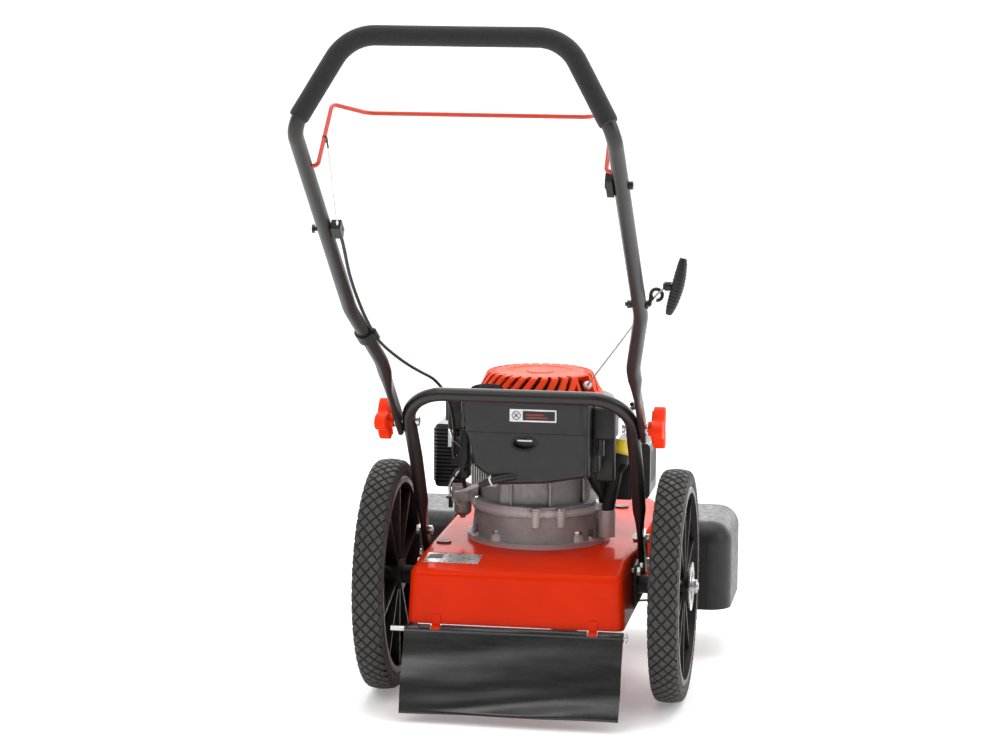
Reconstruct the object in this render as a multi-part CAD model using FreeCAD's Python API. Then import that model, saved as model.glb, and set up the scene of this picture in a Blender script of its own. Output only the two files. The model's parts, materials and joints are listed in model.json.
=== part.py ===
"""Walk-behind wheeled string trimmer: stamped deck, two high wheels, vertical-shaft engine,
belt-driven trimmer head and a folding tubular handle with a brake bail.

Frame: X to the operator's right, Y forward, Z up. Origin on the ground, under the middle of the
axle. Millimetres. Each sub-part is written to parts/NODE.step.
"""
import FreeCAD, Part
import os
from math import atan2, cos, pi, radians, sin, sqrt, tan

V = FreeCAD.Vector
X, Y, Z = V(1, 0, 0), V(0, 1, 0), V(0, 0, 1)

# ------------------------------------------------------------------ driving dimensions
# wheels and axle
wheel_diameter = 356.0          # 14 inch
tyre_width = 45.0
tyre_height = 29.5              # tread to rim seat
wheel_clearance = 36.5          # deck's side to the tyre's inner face
axle_diameter = 12.7
axle_overhang = 14.5            # axle end beyond the tyre's outer face
hub_radius = 23.0
rim_wall = 6.0
web_thickness = 4.0
rib_count = 10
bush_radius = 11.0
hub_plate_radius = 37.0
hub_plate_thickness = 2.5
hub_inner_overhang = 2.0        # beyond the tyre's faces
hub_outer_overhang = 5.0
axle_plate = (26.0, 4.0)        # half width along Y, thickness
axle_plate_top = 34.0           # over the axle
sleeve_radius = 14.0
web_offset = 4.0                # web centre, outward of the wheel's middle

# deck
deck_width = 326.0              # at the open bottom edge
deck_draft = 4.0                # each side leans in by this much to the top
deck_rear = -153.0
deck_front = 480.0
deck_depth = 90.0
deck_top_over_axle = 51.0
deck_wall = 2.0
deck_rear_corner = 14.0
deck_front_corner = 110.0
deck_edge_radius = 12.0
deck_crease = -66.0             # the top slopes down behind here
deck_slope_drop = 9.0           # at the rear face
plug_radius = 9.0
cross_plate = (70.0, 55.0, 4.0)  # reach behind and ahead of the spindle, thickness
cross_flange = 42.0             # length of its side flanges
cross_flange_height = 28.0

# flap and its hinge
flap_width = 330.0
flap_length = 127.0
flap_lean = 21.5                # degrees behind the vertical
flap_thickness = 4.0
rod_diameter = 8.0
rod_drop = 8.0                  # rod axis below the deck's bottom edge
rod_behind = 5.0                # rod axis behind the deck's rear face
ear_spacing = 236.0
ear_width = 12.5
rod_left_end = -186.0

# lower frame and folding handle
tube_diameter = 20.6
tube_wall = 1.8
frame_foot = (55.0, 12.0)       # y, and height over the axle
frame_knee = (-55.0, 194.0)
frame_corner = (-148.0, 308.0)
frame_corner_radius = 60.0
pivot_below_corner = 62.0
flat_thickness = 9.4
handle_lean = 50.8              # degrees behind the vertical
handle_spread = 23.7            # each leg's move outward from its flattened end
handle_length = 756.0           # pivot to the bend under the grip
handle_neck = (174.0, 316.0)    # where the legs spread, from the pivot
grip_rise = (67.0, 30.0, 117.0) # inward, forward and up from the bend to the top corner
grip_corner_radius = 60.0
foam_thickness = 3.2
foam_start = 26.0               # from the bend
foot_bolts = [14.0, 64.0]       # along the flattened leg, from its tip
bracket_bolt = 6.0
leg_flat, leg_blend = 84.0, 40.0

# places along the handle, from the pivot
clip_at = 247.0
rope_guide_at = 348.0
cable_stop_at = 519.0
bail_stop_at = 639.0
bail_pivot_at = 669.0
bail_wire = 6.0
guide_wire = 5.0
eye_radius = 8.0
cable_diameter = 5.0
wire_diameter = 1.6
rope_diameter = 3.2
cable_over_bar = [(-157, -84, 62), (-142, -27, 38), (-126, 30, 17), (-116, 82, -20)]
cable_to_anchor = [(13, -92, 74), (10, -60, 36), (2, -28, 7)]
grip_length = 84.0
grip_lean = 14.0

# engine
engine_y = 87.0
flange_radius = 111.0
sump_radius = 104.0
sump_height = 54.0
crankcase_radius = 86.0
crankcase_offset = -6.0
crankcase_height = 67.0
casting_wall = 6.0
crank_diameter = 25.0
blower_radius = 115.0
blower_height = 54.0
starter_inset = 17.0            # starter cover's edge inside the blower housing's
starter_slope = 26.0
starter_height = 40.0
tank_rear = -66.0
tank_half_width = 98.0
tank_height = 130.0
cap_diameter = 48.0
engine_bolt_circle = 100.0
engine_bolt_angles = [30.0, 150.0, 210.0, 330.0]
flange_thickness = 8.0
cylinder_bore = 32.0
head_thickness = 34.0
parting_lip = 3.0
tower_radius = 48.0
twin_boss_x = [10.0, 47.0]
slot_count = 22
slot_skew = 16.0

# trimmer head and belt drive
spindle_y = 400.0
drive_radius = 40.0             # belt pitch radius on the crankshaft
driven_radius = 50.0
belt_width = 10.0
belt_height = 8.0
spindle_diameter = 17.0
bearing_outer = 40.0
bearing_width = 12.0
hub_disc_radius = 60.0
line_reach = 272.0
line_diameter = 4.0
glide_radius = 56.0
guard_clearance = 13.0          # guard's side wall beyond the lines
guard_rear = 262.0              # y
guard_length = 200.0
guard_wall = 3.0
guard_drop = 59.0               # below the deck's bottom edge
guard_crown = 8.0               # below the deck's top
guard_shoulder = 36.0           # radius of the rounded top edge
housing_bolt_circle = 84.0
housing_bolt_angles = [45.0, 135.0, 225.0, 315.0]
pulley_thickness = 16.0
housing_neck = 29.0
housing_height = 66.0
hub_z = 52.0
hub_thickness = 20.0
line_angles = [20.0, 110.0, 200.0, 290.0]

running_gap = 0.05              # radial, on shafts and pins
free_gap = 0.3                  # between faces that move past each other
bolt_diameter = 8.0
knob_radius = 35.0
knob_thickness = 22.0

# ------------------------------------------------------------------ derived places
wheel_radius = wheel_diameter / 2
axle_z = wheel_radius
inner_face = deck_width / 2 + wheel_clearance
outer_face = inner_face + tyre_width
track = 2 * inner_face + tyre_width
rim_seat = wheel_radius - tyre_height
deck_top = axle_z + deck_top_over_axle
deck_bottom = deck_top - deck_depth
deck_side = deck_width / 2
rod_at = V(0, deck_rear - rod_behind, deck_bottom - rod_drop)
tube_radius = tube_diameter / 2
flat_half_height = tube_radius + (tube_diameter - flat_thickness) * 0.28


def side_point(pair, x=0.0):
    """A point given by its y and its height over the axle."""
    return V(x, pair[0], axle_z + pair[1])


corner_point = side_point(frame_corner)
knee_point = side_point(frame_knee)
leg_up = (corner_point - knee_point).normalize()
pivot = corner_point - leg_up * pivot_below_corner
handle_up = V(0, -sin(radians(handle_lean)), cos(radians(handle_lean)))
foot_x = deck_side + free_gap + flat_thickness / 2
flat_x = foot_x + tube_radius + free_gap + flat_thickness / 2
handle_half_width = flat_x + handle_spread


def on_handle(distance, x=0.0):
    return pivot + handle_up * distance + V(x, 0, 0)


neck_start, neck_end = handle_neck
top_corner = on_handle(handle_length, handle_half_width - grip_rise[0]) + V(0, grip_rise[1], grip_rise[2])
sump_top = deck_top + sump_height
case_top = sump_top + crankcase_height
blower_bottom = case_top + 46.0
blower_top = blower_bottom + blower_height
starter_top = blower_top + starter_height
engine_axis = V(0, engine_y, 0)
spindle_axis = V(0, spindle_y, 0)
belt_z = deck_top - 26.0
guard_bottom = deck_bottom - guard_drop
guard_top = deck_top - guard_crown
guard_reach = line_reach + guard_clearance
starter_radius = blower_radius - starter_inset
starter_top_radius = starter_radius - starter_slope


# ------------------------------------------------------------------ shape helpers
def box(x0, x1, y0, y1, z0, z1):
    return Part.makeBox(x1 - x0, y1 - y0, z1 - z0, V(x0, y0, z0))


def cylinder(radius, start, length, axis=Z):
    return Part.makeCylinder(radius, length, start, axis)


def ring(outer, inner, start, length, axis=Z):
    return cylinder(outer, start, length, axis).cut(cylinder(inner, start, length, axis))


def mirrored(shape):
    return shape.mirror(V(0, 0, 0), X)


def both_sides(shape):
    return [shape, mirrored(shape)]


def polygon_face(points):
    return Part.Face(Part.makePolygon(points + [points[0]]))


def turned(profile, centre, axis=Z, angle=360.0):
    """Revolve (radius, height) points about an axis through centre."""
    start = X if axis != X else Y
    points = [centre + start * r + axis * h for r, h in profile]
    return polygon_face(points).revolve(centre, axis, angle)


def path_edges(points, radius):
    """Straight runs joined by tangent arcs; radius is one value, or one for each bend."""
    radii = radius if isinstance(radius, list) else [radius] * (len(points) - 2)
    edges, start = [], points[0]
    for before, corner, after, r in zip(points, points[1:], points[2:], radii):
        into, out = (corner - before).normalize(), (after - corner).normalize()
        half = into.getAngle(out) / 2
        reach = r * tan(half)
        enter, leave = corner - into * reach, corner + out * reach
        inward = (out - into).normalize()
        middle = corner + inward * (r / cos(half) - r)
        if (enter - start).Length > 1e-6:
            edges.append(Part.LineSegment(start, enter).toShape())
        edges.append(Part.Arc(enter, middle, leave).toShape())
        start = leave
    edges.append(Part.LineSegment(start, points[-1]).toShape())
    return edges


def rod(points, bend, radius):
    """A round bar along a path."""
    path = Part.Wire(path_edges(points, bend))
    circle = Part.Wire(Part.makeCircle(radius, points[0], points[1] - points[0]))
    return path.makePipeShell([circle], True, False)


def hollow_rod(points, bend, radius, bore):
    ends = [(points[0], points[0] - points[1]), (points[-1], points[-1] - points[-2])]
    inner = rod(points, bend, bore)
    for end, way in ends:
        inner = inner.fuse(cylinder(bore, end - way.normalize() * 0.5, 1.0, way))
    return rod(points, bend, radius).cut(inner)


def oval_wire(centre, along, wide, half_wide, half_thin):
    """A tube's section, round when both halves are equal and flattened when they aren't."""
    thin = along.cross(wide).normalize()
    wide = V(wide).normalize()
    if abs(half_wide - half_thin) < 1e-6:
        a = half_wide * sqrt(0.5)
        corners = [(a, -a), (a, a), (-a, a), (-a, -a)]
        middles = [(half_wide, 0), (0, half_wide), (-half_wide, 0), (0, -half_wide)]
    else:
        flat = half_wide - half_thin
        corners = [(flat, -half_thin), (flat, half_thin), (-flat, half_thin), (-flat, -half_thin)]
        middles = [(half_wide, 0), None, (-half_wide, 0), None]
    points = [centre + wide * u + thin * v for u, v in corners]
    edges = []
    for i, middle in enumerate(middles):
        a, b = points[i], points[(i + 1) % 4]
        if middle:
            edges.append(Part.Arc(a, centre + wide * middle[0] + thin * middle[1], b).toShape())
        else:
            edges.append(Part.LineSegment(a, b).toShape())
    return Part.Wire(edges)


def flattened_end(tip, along, wide, flat_length, blend_length, overlap=0.0):
    """The crushed end of a tube: a flat tongue from its tip, blending to the round tube."""
    thin_half = flat_thickness / 2
    tip_wire = oval_wire(tip, along, wide, flat_half_height, thin_half)
    tongue = Part.Face(tip_wire).extrude(along * flat_length)
    low = oval_wire(tip + along * flat_length, along, wide, flat_half_height, thin_half)
    high = oval_wire(tip + along * (flat_length + blend_length), along, wide, tube_radius, tube_radius)
    return tongue.fuse(Part.makeLoft([low, high], True, True))


def hull_face(centre_a, radius_a, centre_b, radius_b):
    """The outline of a belt round two pulleys, in a plane of constant height."""
    span = centre_b - centre_a
    lean = atan2(radius_b - radius_a, span.Length)
    heading = atan2(span.y, span.x)

    def at(centre, radius, angle):
        return centre + V(cos(angle), sin(angle), 0) * radius
    left, right = heading + pi / 2 + lean, heading - pi / 2 - lean
    a1, a2 = at(centre_a, radius_a, left), at(centre_a, radius_a, right)
    b1, b2 = at(centre_b, radius_b, left), at(centre_b, radius_b, right)
    edges = [
        Part.Arc(a1, at(centre_a, radius_a, heading + pi), a2).toShape(),
        Part.LineSegment(a2, b2).toShape(),
        Part.Arc(b2, at(centre_b, radius_b, heading), b1).toShape(),
        Part.LineSegment(b1, a1).toShape(),
    ]
    return Part.Face(Part.Wire(edges))


def rounded_outline(half, rear, front, rear_radius, front_radius, z):
    """A rectangle with rounded corners, symmetric in X, as a wire."""
    k = sqrt(0.5)
    rr, fr = rear_radius, front_radius
    arcs = [
        (V(-half, rear + rr, z), V(-half + rr * (1 - k), rear + rr * (1 - k), z), V(-half + rr, rear, z)),
        (V(half - rr, rear, z), V(half - rr * (1 - k), rear + rr * (1 - k), z), V(half, rear + rr, z)),
        (V(half, front - fr, z), V(half - fr * (1 - k), front - fr * (1 - k), z), V(half - fr, front, z)),
        (V(-half + fr, front, z), V(-half + fr * (1 - k), front - fr * (1 - k), z), V(-half, front - fr, z)),
    ]
    edges = []
    for i, (a, m, b) in enumerate(arcs):
        edges.append(Part.Arc(a, m, b).toShape())
        edges.append(Part.LineSegment(b, arcs[(i + 1) % 4][0]).toShape())
    return Part.Wire(edges)


def hex_prism(across, start, length, axis):
    other = axis.cross(X if abs(axis.dot(X)) < 0.9 else Y).normalize()
    side = other.cross(axis).normalize()
    r = across / sqrt(3)
    points = [start + side * (r * cos(i * pi / 3)) + other * (r * sin(i * pi / 3)) for i in range(6)]
    return polygon_face(points).extrude(axis * length)


def hex_bolt(head_at, axis, length, diameter=bolt_diameter):
    """A hex bolt whose head sits on head_at and whose shank runs against axis."""
    head = hex_prism(diameter * 1.6, head_at, diameter * 0.65, axis)
    return head.fuse(cylinder(diameter / 2, head_at - axis * length, length, axis))


def hex_nut(face_at, axis, diameter=bolt_diameter):
    nut = hex_prism(diameter * 1.6, face_at, diameter * 0.8, axis)
    return nut.cut(cylinder(diameter / 2, face_at, diameter * 0.8, axis))


def save(name, *shapes):
    solids = []
    for shape in shapes:
        solids += shape.Solids
    shape = solids[0] if len(solids) == 1 else Part.makeCompound(solids)
    if not shape.isValid():
        print("not valid:", name)
    shape.exportStep("parts/" + name + ".step")
    print(name, len(solids), round(sum(s.Volume for s in solids) / 1000, 2), "cm3")


def fillet_where(shape, radius, keep):
    edges = [e for e in shape.Edges if keep(e)]
    return shape.makeFillet(radius, edges)


# ------------------------------------------------------------------ deck, frame and axle
plug_places = [V(-136, 9.5, 0), V(100, 336, 0)]
cross_plate_z = belt_z - 34.0
cross_bolt_ys = [spindle_y - 61.0, spindle_y - 37.0]
guard_bolt_ys = [spindle_y - 105.0] + cross_bolt_ys
side_bolt_z = cross_plate_z + 12.0
cross_nose = deck_side - 45.0     # half width of the cross plate's front edge
deck_inside = deck_side - deck_draft / 2 - deck_wall - 1.5


def polar(centre, radius, angle, z=0.0):
    return V(centre.x + radius * cos(radians(angle)), centre.y + radius * sin(radians(angle)), z)


leg_foot = side_point(frame_foot, foot_x)
leg_way = (side_point(frame_knee, foot_x) - leg_foot).normalize()


def make_deck():
    top_half = deck_side - deck_draft
    drafted = deck_draft

    def pan(inset, z0, z1):
        low = rounded_outline(deck_side - inset, deck_rear + inset, deck_front - inset,
                              deck_rear_corner - inset, deck_front_corner - inset, z0)
        high = rounded_outline(top_half - inset, deck_rear + drafted + inset, deck_front - drafted - inset,
                               deck_rear_corner - inset, deck_front_corner - inset, z1)
        body = Part.makeLoft([low, high], True, True)
        rear_z = z1 - deck_slope_drop
        wedge = polygon_face([V(-deck_width, deck_crease, z1), V(-deck_width, deck_rear - 5, rear_z),
                              V(-deck_width, deck_rear - 5, z1 + 5), V(-deck_width, deck_crease, z1 + 5)])
        body = body.cut(wedge.extrude(X * 2 * deck_width))

        def rim(e):
            box, along_x = e.BoundBox, e.BoundBox.XLength > deck_side
            crease = along_x and box.YLength < 1e-3 and abs(box.YMin - deck_crease) < 1e-3
            return box.ZMin > rear_z - 1e-3 and not crease
        return fillet_where(body, deck_edge_radius - inset, rim)

    shell = pan(0.0, deck_bottom, deck_top).cut(pan(deck_wall, deck_bottom, deck_top - deck_wall))
    shell = shell.cut(cylinder(32.0, engine_axis + Z * (deck_top - 10), 20))
    for angle in engine_bolt_angles:
        at = polar(engine_axis, engine_bolt_circle, angle, deck_top - 10)
        shell = shell.cut(cylinder(bolt_diameter / 2, at, 20))
    for place in plug_places:
        shell = shell.cut(cylinder(plug_radius, place + Z * (deck_top - 10), 20))
    side_holes = [leg_foot + leg_way * foot_bolts[0]]
    side_holes += [V(0, y, axle_z + axle_plate_top - 10) for y in (-16, 16)]
    side_holes += [V(0, y, side_bolt_z) for y in guard_bolt_ys]
    for hole in side_holes:
        shell = shell.cut(cylinder(bolt_diameter / 2, V(-deck_side - 5, hole.y, hole.z), deck_width + 10, X))
    shell = shell.cut(cylinder(axle_diameter / 2 + 1.0, V(-deck_side - 5, 0, axle_z), deck_width + 10, X))
    for x in (-ear_spacing / 2, ear_spacing / 2):
        shell = shell.fuse(hinge_ear(x))
    return shell.removeSplitter()


def hinge_ear(x):
    """A rolled eye on the deck's rear wall that carries the flap's rod."""
    half = ear_width / 2
    outer = rod_diameter / 2 + 3.0
    base = V(x - half, rod_at.y, rod_at.z)
    eye = cylinder(outer, base, ear_width, X)
    web = box(x - half, x + half, deck_rear - 2.0, deck_rear + 0.5, rod_at.z, deck_bottom + 14.0)
    eye = eye.fuse(web)
    return eye.cut(cylinder(rod_diameter / 2, base - X, ear_width + 2, X))


def make_deck_plugs():
    plugs = []
    for place in plug_places:
        at = place + Z * deck_top
        plug = cylinder(plug_radius + 2.5, at, 2.5)
        plug = plug.fuse(cylinder(plug_radius, at - Z * (deck_wall + 4), deck_wall + 4))
        plugs.append(plug.fuse(cylinder(plug_radius + 1, at - Z * (deck_wall + 3), 3)))
    return plugs


def make_lower_frame():
    """The U-shaped roll bar whose legs bolt to the deck's sides and carry the handle."""
    neck = leg_foot + leg_way * (leg_flat + leg_blend)
    points = [V(neck), V(foot_x, knee_point.y, knee_point.z), V(foot_x, corner_point.y, corner_point.z)]
    points += [V(-p.x, p.y, p.z) for p in reversed(points)]
    corner = frame_corner_radius
    tube = hollow_rod(points, [220.0, corner, corner, 220.0], tube_radius, tube_radius - tube_wall)
    wide = X.cross(leg_way)
    foot = flattened_end(leg_foot, leg_way, wide, leg_flat, leg_blend)
    for along in foot_bolts:
        foot = foot.cut(cylinder(bolt_diameter / 2, leg_foot + leg_way * along - X * 20, 40, X))
    frame = tube.fuse(foot).fuse(mirrored(foot))
    hole = V(-foot_x - 30, pivot.y, pivot.z)
    return frame.cut(cylinder(bolt_diameter / 2 + running_gap, hole, 2 * foot_x + 60, X))


def make_frame_brackets():
    """Zinc-plated straps that clamp the flattened legs to the deck."""
    strap_x = foot_x + flat_thickness / 2
    wide = X.cross(leg_way)
    start = leg_foot + leg_way * (foot_bolts[0] - 12) - wide * 9
    start.x = strap_x
    length = foot_bolts[1] - foot_bolts[0] + 24
    corners = [start, start + leg_way * length, start + leg_way * length + wide * 18, start + wide * 18]
    strap = polygon_face(corners).extrude(X * 3.0)
    for along in foot_bolts:
        centre = leg_foot + leg_way * along
        strap = strap.cut(cylinder(bolt_diameter / 2, V(strap_x - 1, centre.y, centre.z), 5, X))
    return both_sides(strap)


def make_axle():
    length = 2 * (outer_face + axle_overhang)
    bar = cylinder(axle_diameter / 2, V(-length / 2, 0, axle_z), length, X)
    hub_end = outer_face + hub_outer_overhang + free_gap
    washer = ring(13.0, axle_diameter / 2, V(hub_end, 0, axle_z), 1.6, X)
    nut = hex_prism(19.0, V(hub_end + 1.6, 0, axle_z), 5.5, X)
    nut = nut.cut(cylinder(axle_diameter / 2, V(hub_end, 0, axle_z), 10, X))
    return [bar] + both_sides(nut) + both_sides(washer)


def make_axle_bearings():
    half, thick = axle_plate
    plate = box(deck_side, deck_side + thick, -half, half, axle_z - 30, axle_z + axle_plate_top)
    plate = fillet_where(plate, 8.0, lambda e: abs(e.BoundBox.XLength - thick) < 1e-6)
    end = inner_face - hub_inner_overhang - free_gap
    sleeve = cylinder(sleeve_radius, V(deck_side, 0, axle_z), end - deck_side, X)
    block = plate.fuse(sleeve).cut(cylinder(axle_diameter / 2, V(deck_side - 1, 0, axle_z), 60, X))
    for y in (-16, 16):
        at = V(deck_side - 1, y, axle_z + axle_plate_top - 10)
        block = block.cut(cylinder(bolt_diameter / 2, at, 20, X))
    return both_sides(block)


def make_flap_rod():
    right = flap_width / 2 + 6.0
    bar = cylinder(rod_diameter / 2, V(rod_left_end, rod_at.y, rod_at.z), right - rod_left_end, X)
    clip = ring(rod_diameter / 2 + 3.0, rod_diameter / 2, V(right - 3.0, rod_at.y, rod_at.z), 1.5, X)
    return [bar, clip]


def make_chassis_bolts():
    """Hex bolts that hold the legs, the axle plates, the guards, the cross plate and the engine."""
    outward = []
    strap_face = foot_x + flat_thickness / 2 + 3.0
    upper = leg_foot + leg_way * foot_bolts[1]
    lower = leg_foot + leg_way * foot_bolts[0]
    outward.append(hex_bolt(V(strap_face, lower.y, lower.z), X, strap_face - deck_side + deck_wall + 9))
    outward.append(hex_bolt(V(strap_face, upper.y, upper.z), X, strap_face - foot_x + flat_thickness / 2 + 8))
    outward.append(hex_nut(V(foot_x - flat_thickness / 2, upper.y, upper.z), X * -1))
    for y in (-16, 16):
        at = V(deck_side + axle_plate[1], y, axle_z + axle_plate_top - 10)
        outward.append(hex_bolt(at, X, 16))
    for y in guard_bolt_ys:
        outward.append(hex_bolt(V(deck_side + guard_wall + free_gap, y, side_bolt_z), X, 18))
    bolts = [b for part in outward for b in both_sides(part)]
    for angle in engine_bolt_angles:
        at = polar(engine_axis, engine_bolt_circle, angle, deck_top + flange_thickness)
        bolts.append(hex_bolt(at, Z, flange_thickness + deck_wall + 8))
    return bolts


def make_cross_plate():
    """A folded steel plate across the deck that carries the trimmer spindle."""
    behind, ahead, thick = cross_plate
    y0, y1, y2 = spindle_y - behind, spindle_y - behind + cross_flange, spindle_y + ahead
    z0, z1 = cross_plate_z - thick, cross_plate_z + cross_flange_height
    outline = [V(-deck_inside, y0, z0), V(deck_inside, y0, z0), V(deck_inside, y1, z0), V(cross_nose, y2, z0),
               V(-cross_nose, y2, z0), V(-deck_inside, y1, z0)]
    plate = polygon_face(outline).extrude(Z * thick)
    for flange in both_sides(box(deck_inside - thick, deck_inside, y0, y1, z0, z1)):
        plate = plate.fuse(flange)
    plate = plate.cut(cylinder(housing_neck + 0.5, spindle_axis + Z * (cross_plate_z - 10), 20))
    for angle in housing_bolt_angles:
        at = polar(spindle_axis, housing_bolt_circle / 2, angle, cross_plate_z - 10)
        plate = plate.cut(cylinder(bolt_diameter / 2, at, 20))
    for y in cross_bolt_ys:
        plate = plate.cut(cylinder(bolt_diameter / 2, V(-deck_side - 5, y, side_bolt_z), deck_width + 10, X))
    return plate


# ------------------------------------------------------------------ guards
def guard_solid(inset, drop):
    """One guard's outer or inner form: upright walls under a rounded shoulder."""
    inside, outside = deck_side - 20.0, guard_reach - inset
    rear, front = guard_rear + inset, guard_rear + guard_length - inset
    bottom, top = guard_bottom - drop, guard_top - inset
    form = box(inside, outside, rear, front, bottom, top)
    corner = guard_shoulder - inset
    form = fillet_where(form, corner,
                        lambda e: e.BoundBox.ZLength > guard_drop and e.BoundBox.XMin > deck_side)
    return fillet_where(form, corner - guard_wall,
                        lambda e: e.BoundBox.ZMin > top - 1e-3 and e.BoundBox.XMax > deck_side)


def make_guards():
    """Plastic guards outside the deck, open below, over the sweep of the lines."""
    shell = guard_solid(0.0, 0.0).cut(guard_solid(guard_wall, 10.0))
    shell = shell.cut(box(0, deck_side + free_gap, -500, 1200, 0, 400))
    lip = box(deck_side + free_gap, deck_side + free_gap + guard_wall,
              guard_bolt_ys[0] - 20, guard_bolt_ys[-1] + 30, side_bolt_z - 16, guard_top - guard_wall / 2)
    guard = shell.fuse(lip)
    for y in guard_bolt_ys:
        guard = guard.cut(cylinder(bolt_diameter / 2, V(deck_side, y, side_bolt_z), 10, X))
    return both_sides(guard)


# ------------------------------------------------------------------ flap
def make_flap():
    hem_outer = rod_diameter / 2 + 4.0
    down = V(0, -sin(radians(flap_lean)), -cos(radians(flap_lean)))
    back = X.cross(down)
    half = flap_width / 2
    start = rod_at - back * (hem_outer - flap_thickness) - X * half
    corners = [start, start + down * flap_length, start + down * flap_length - back * flap_thickness,
               start - back * flap_thickness]
    sheet = polygon_face(corners).extrude(X * flap_width)
    hem = cylinder(hem_outer, rod_at - X * half, flap_width, X)
    flap = sheet.fuse(hem)
    for x in (-ear_spacing / 2, ear_spacing / 2):
        notch = cylinder(hem_outer + 8.0, V(x - ear_width / 2 - 1.5, rod_at.y, rod_at.z), ear_width + 3, X)
        flap = flap.cut(notch)
    bore = cylinder(rod_diameter / 2 + running_gap, rod_at - X * (half + 1), flap_width + 2, X)
    return flap.cut(bore)


# ------------------------------------------------------------------ wheels


def make_tyre(x):
    half = tyre_width / 2
    shoulder, bead = 5.0, 7.0
    w, r = wheel_radius, rim_seat
    profile = [(r, -half + bead), (r, half - bead), (r + 4, half - 1), (r + 10, half), (w - 9, half),
               (w - shoulder / 2, half - 2.5), (w, half - shoulder - 4)]
    profile += [(a, -b) for a, b in reversed(profile[2:])]
    return turned(profile, V(x, 0, axle_z), X)


def make_rim(side):
    """One moulded wheel: rim channel, dished web, ribs and hub."""
    half = tyre_width / 2
    centre = V(0, 0, axle_z)
    lip = 7.0
    channel = turned([(rim_seat, -half + lip), (rim_seat, half - lip), (rim_seat + 3.5, half - 1.5),
                      (rim_seat + 2, half), (rim_seat - rim_wall, half), (rim_seat - rim_wall, -half),
                      (rim_seat + 2, -half), (rim_seat + 3.5, -half + 1.5)], centre, X)
    out = web_offset
    web = turned([(hub_radius - 3, out - 2), (hub_radius - 3, out + web_thickness - 2),
                  (rim_seat - rim_wall + 1, out + web_thickness - 2), (rim_seat - rim_wall + 1, out - 2)],
                 centre, X)
    hub_length = tyre_width + hub_inner_overhang + hub_outer_overhang
    hub = ring(hub_radius, bush_radius, V(-half - hub_inner_overhang, 0, axle_z), hub_length, X)
    rim = channel.fuse(web).fuse(hub)
    for i in range(rib_count):
        rib = box(-half + 4, half - 6, -2.0, 2.0, hub_radius - 2, rim_seat - rim_wall + 1)
        rib.rotate(V(0, 0, 0), X, 360.0 * i / rib_count)
        rib.translate(centre)
        rim = rim.fuse(rib)
    rim = rim.removeSplitter()
    if side < 0:
        rim = mirrored(rim)
    return rim.translate(X * side * track / 2)


def make_bushes(side):
    """The two flanged bearings pressed into a hub, and the plate over the outer one."""
    half = tyre_width / 2
    bore = axle_diameter / 2 + running_gap
    inner = ring(bush_radius, bore, V(-half - hub_inner_overhang, 0, axle_z), 14, X)
    outer_end = half + hub_outer_overhang
    outer = ring(bush_radius, bore, V(outer_end - 14, 0, axle_z), 14, X)
    start = V(outer_end - hub_plate_thickness, 0, axle_z)
    plate = ring(hub_plate_radius, hub_radius, start, hub_plate_thickness, X)
    pieces = [inner, outer, plate]
    if side < 0:
        pieces = [mirrored(p) for p in pieces]
    return [p.translate(X * side * track / 2) for p in pieces]


# ------------------------------------------------------------------ handle and bail


def side_axes():
    """Along the handle, and across it towards the front."""
    return handle_up, handle_up.cross(X) * -1


def make_handle_tube():
    tip = on_handle(-22.0, flat_x)
    flat, blend = 118.0, 46.0
    start = tip + handle_up * (flat + blend)
    neck_low = on_handle(neck_start, flat_x)
    neck_high = on_handle(neck_end, handle_half_width - 1.0)
    bend = on_handle(handle_length, handle_half_width)
    points = [start, neck_low, neck_high, bend, top_corner]
    points += [V(-p.x, p.y, p.z) for p in reversed(points)]
    neck, elbow, grip = 150.0, 37.0, grip_corner_radius
    radii = [neck, neck, elbow, grip, grip, elbow, neck, neck]
    tube = hollow_rod(points, radii, tube_radius, tube_radius - tube_wall)
    wide = X.cross(handle_up)
    tongue = flattened_end(tip, handle_up, wide, flat, blend)
    tongue = tongue.cut(cylinder(bolt_diameter / 2, pivot - X * 10, 400, X))
    tube = tube.fuse(tongue).fuse(mirrored(tongue))
    pin = bail_wire / 2 + running_gap
    at = on_handle(bail_pivot_at)
    tube = tube.cut(cylinder(pin, V(-handle_half_width - 1, at.y, at.z), 2 * handle_half_width + 2, X))
    for distance in (cable_stop_at, bail_stop_at, rope_guide_at):
        at = on_handle(distance)
        side = -1 if distance == cable_stop_at else 1
        start = V(side * handle_half_width - 30, at.y, at.z)
        tube = tube.cut(cylinder(bracket_bolt / 2, start, 60, X))
    return tube


def make_foam_grip():
    bend = on_handle(handle_length, handle_half_width)
    way = (top_corner - bend).normalize()
    points = [bend + way * foam_start, top_corner]
    points += [V(-p.x, p.y, p.z) for p in reversed(points)]
    grip = grip_corner_radius
    return hollow_rod(points, [grip, grip], tube_radius + foam_thickness, tube_radius)


def leg_x(distance):
    """The handle leg's centre line, from its flattened end out to its full width."""
    stations = [(neck_start, flat_x), (neck_end, handle_half_width - 1.0), (handle_length, handle_half_width)]
    for (d0, x0), (d1, x1) in zip(stations, stations[1:]):
        if distance <= d1:
            return x0 + (x1 - x0) * (distance - d0) / (d1 - d0)
    return handle_half_width


def saddle(side, distance, length, depth, height):
    """A small block that sits against the inner side of the handle's tube."""
    up, front = side_axes()
    gap = tube_radius
    at = on_handle(distance, side * (leg_x(distance) - gap))
    inward = X * -side
    corners = [at - up * length / 2 - front * height / 2, at + up * length / 2 - front * height / 2,
               at + up * length / 2 + front * height / 2, at - up * length / 2 + front * height / 2]
    return polygon_face(corners).extrude(inward * depth), at


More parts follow.
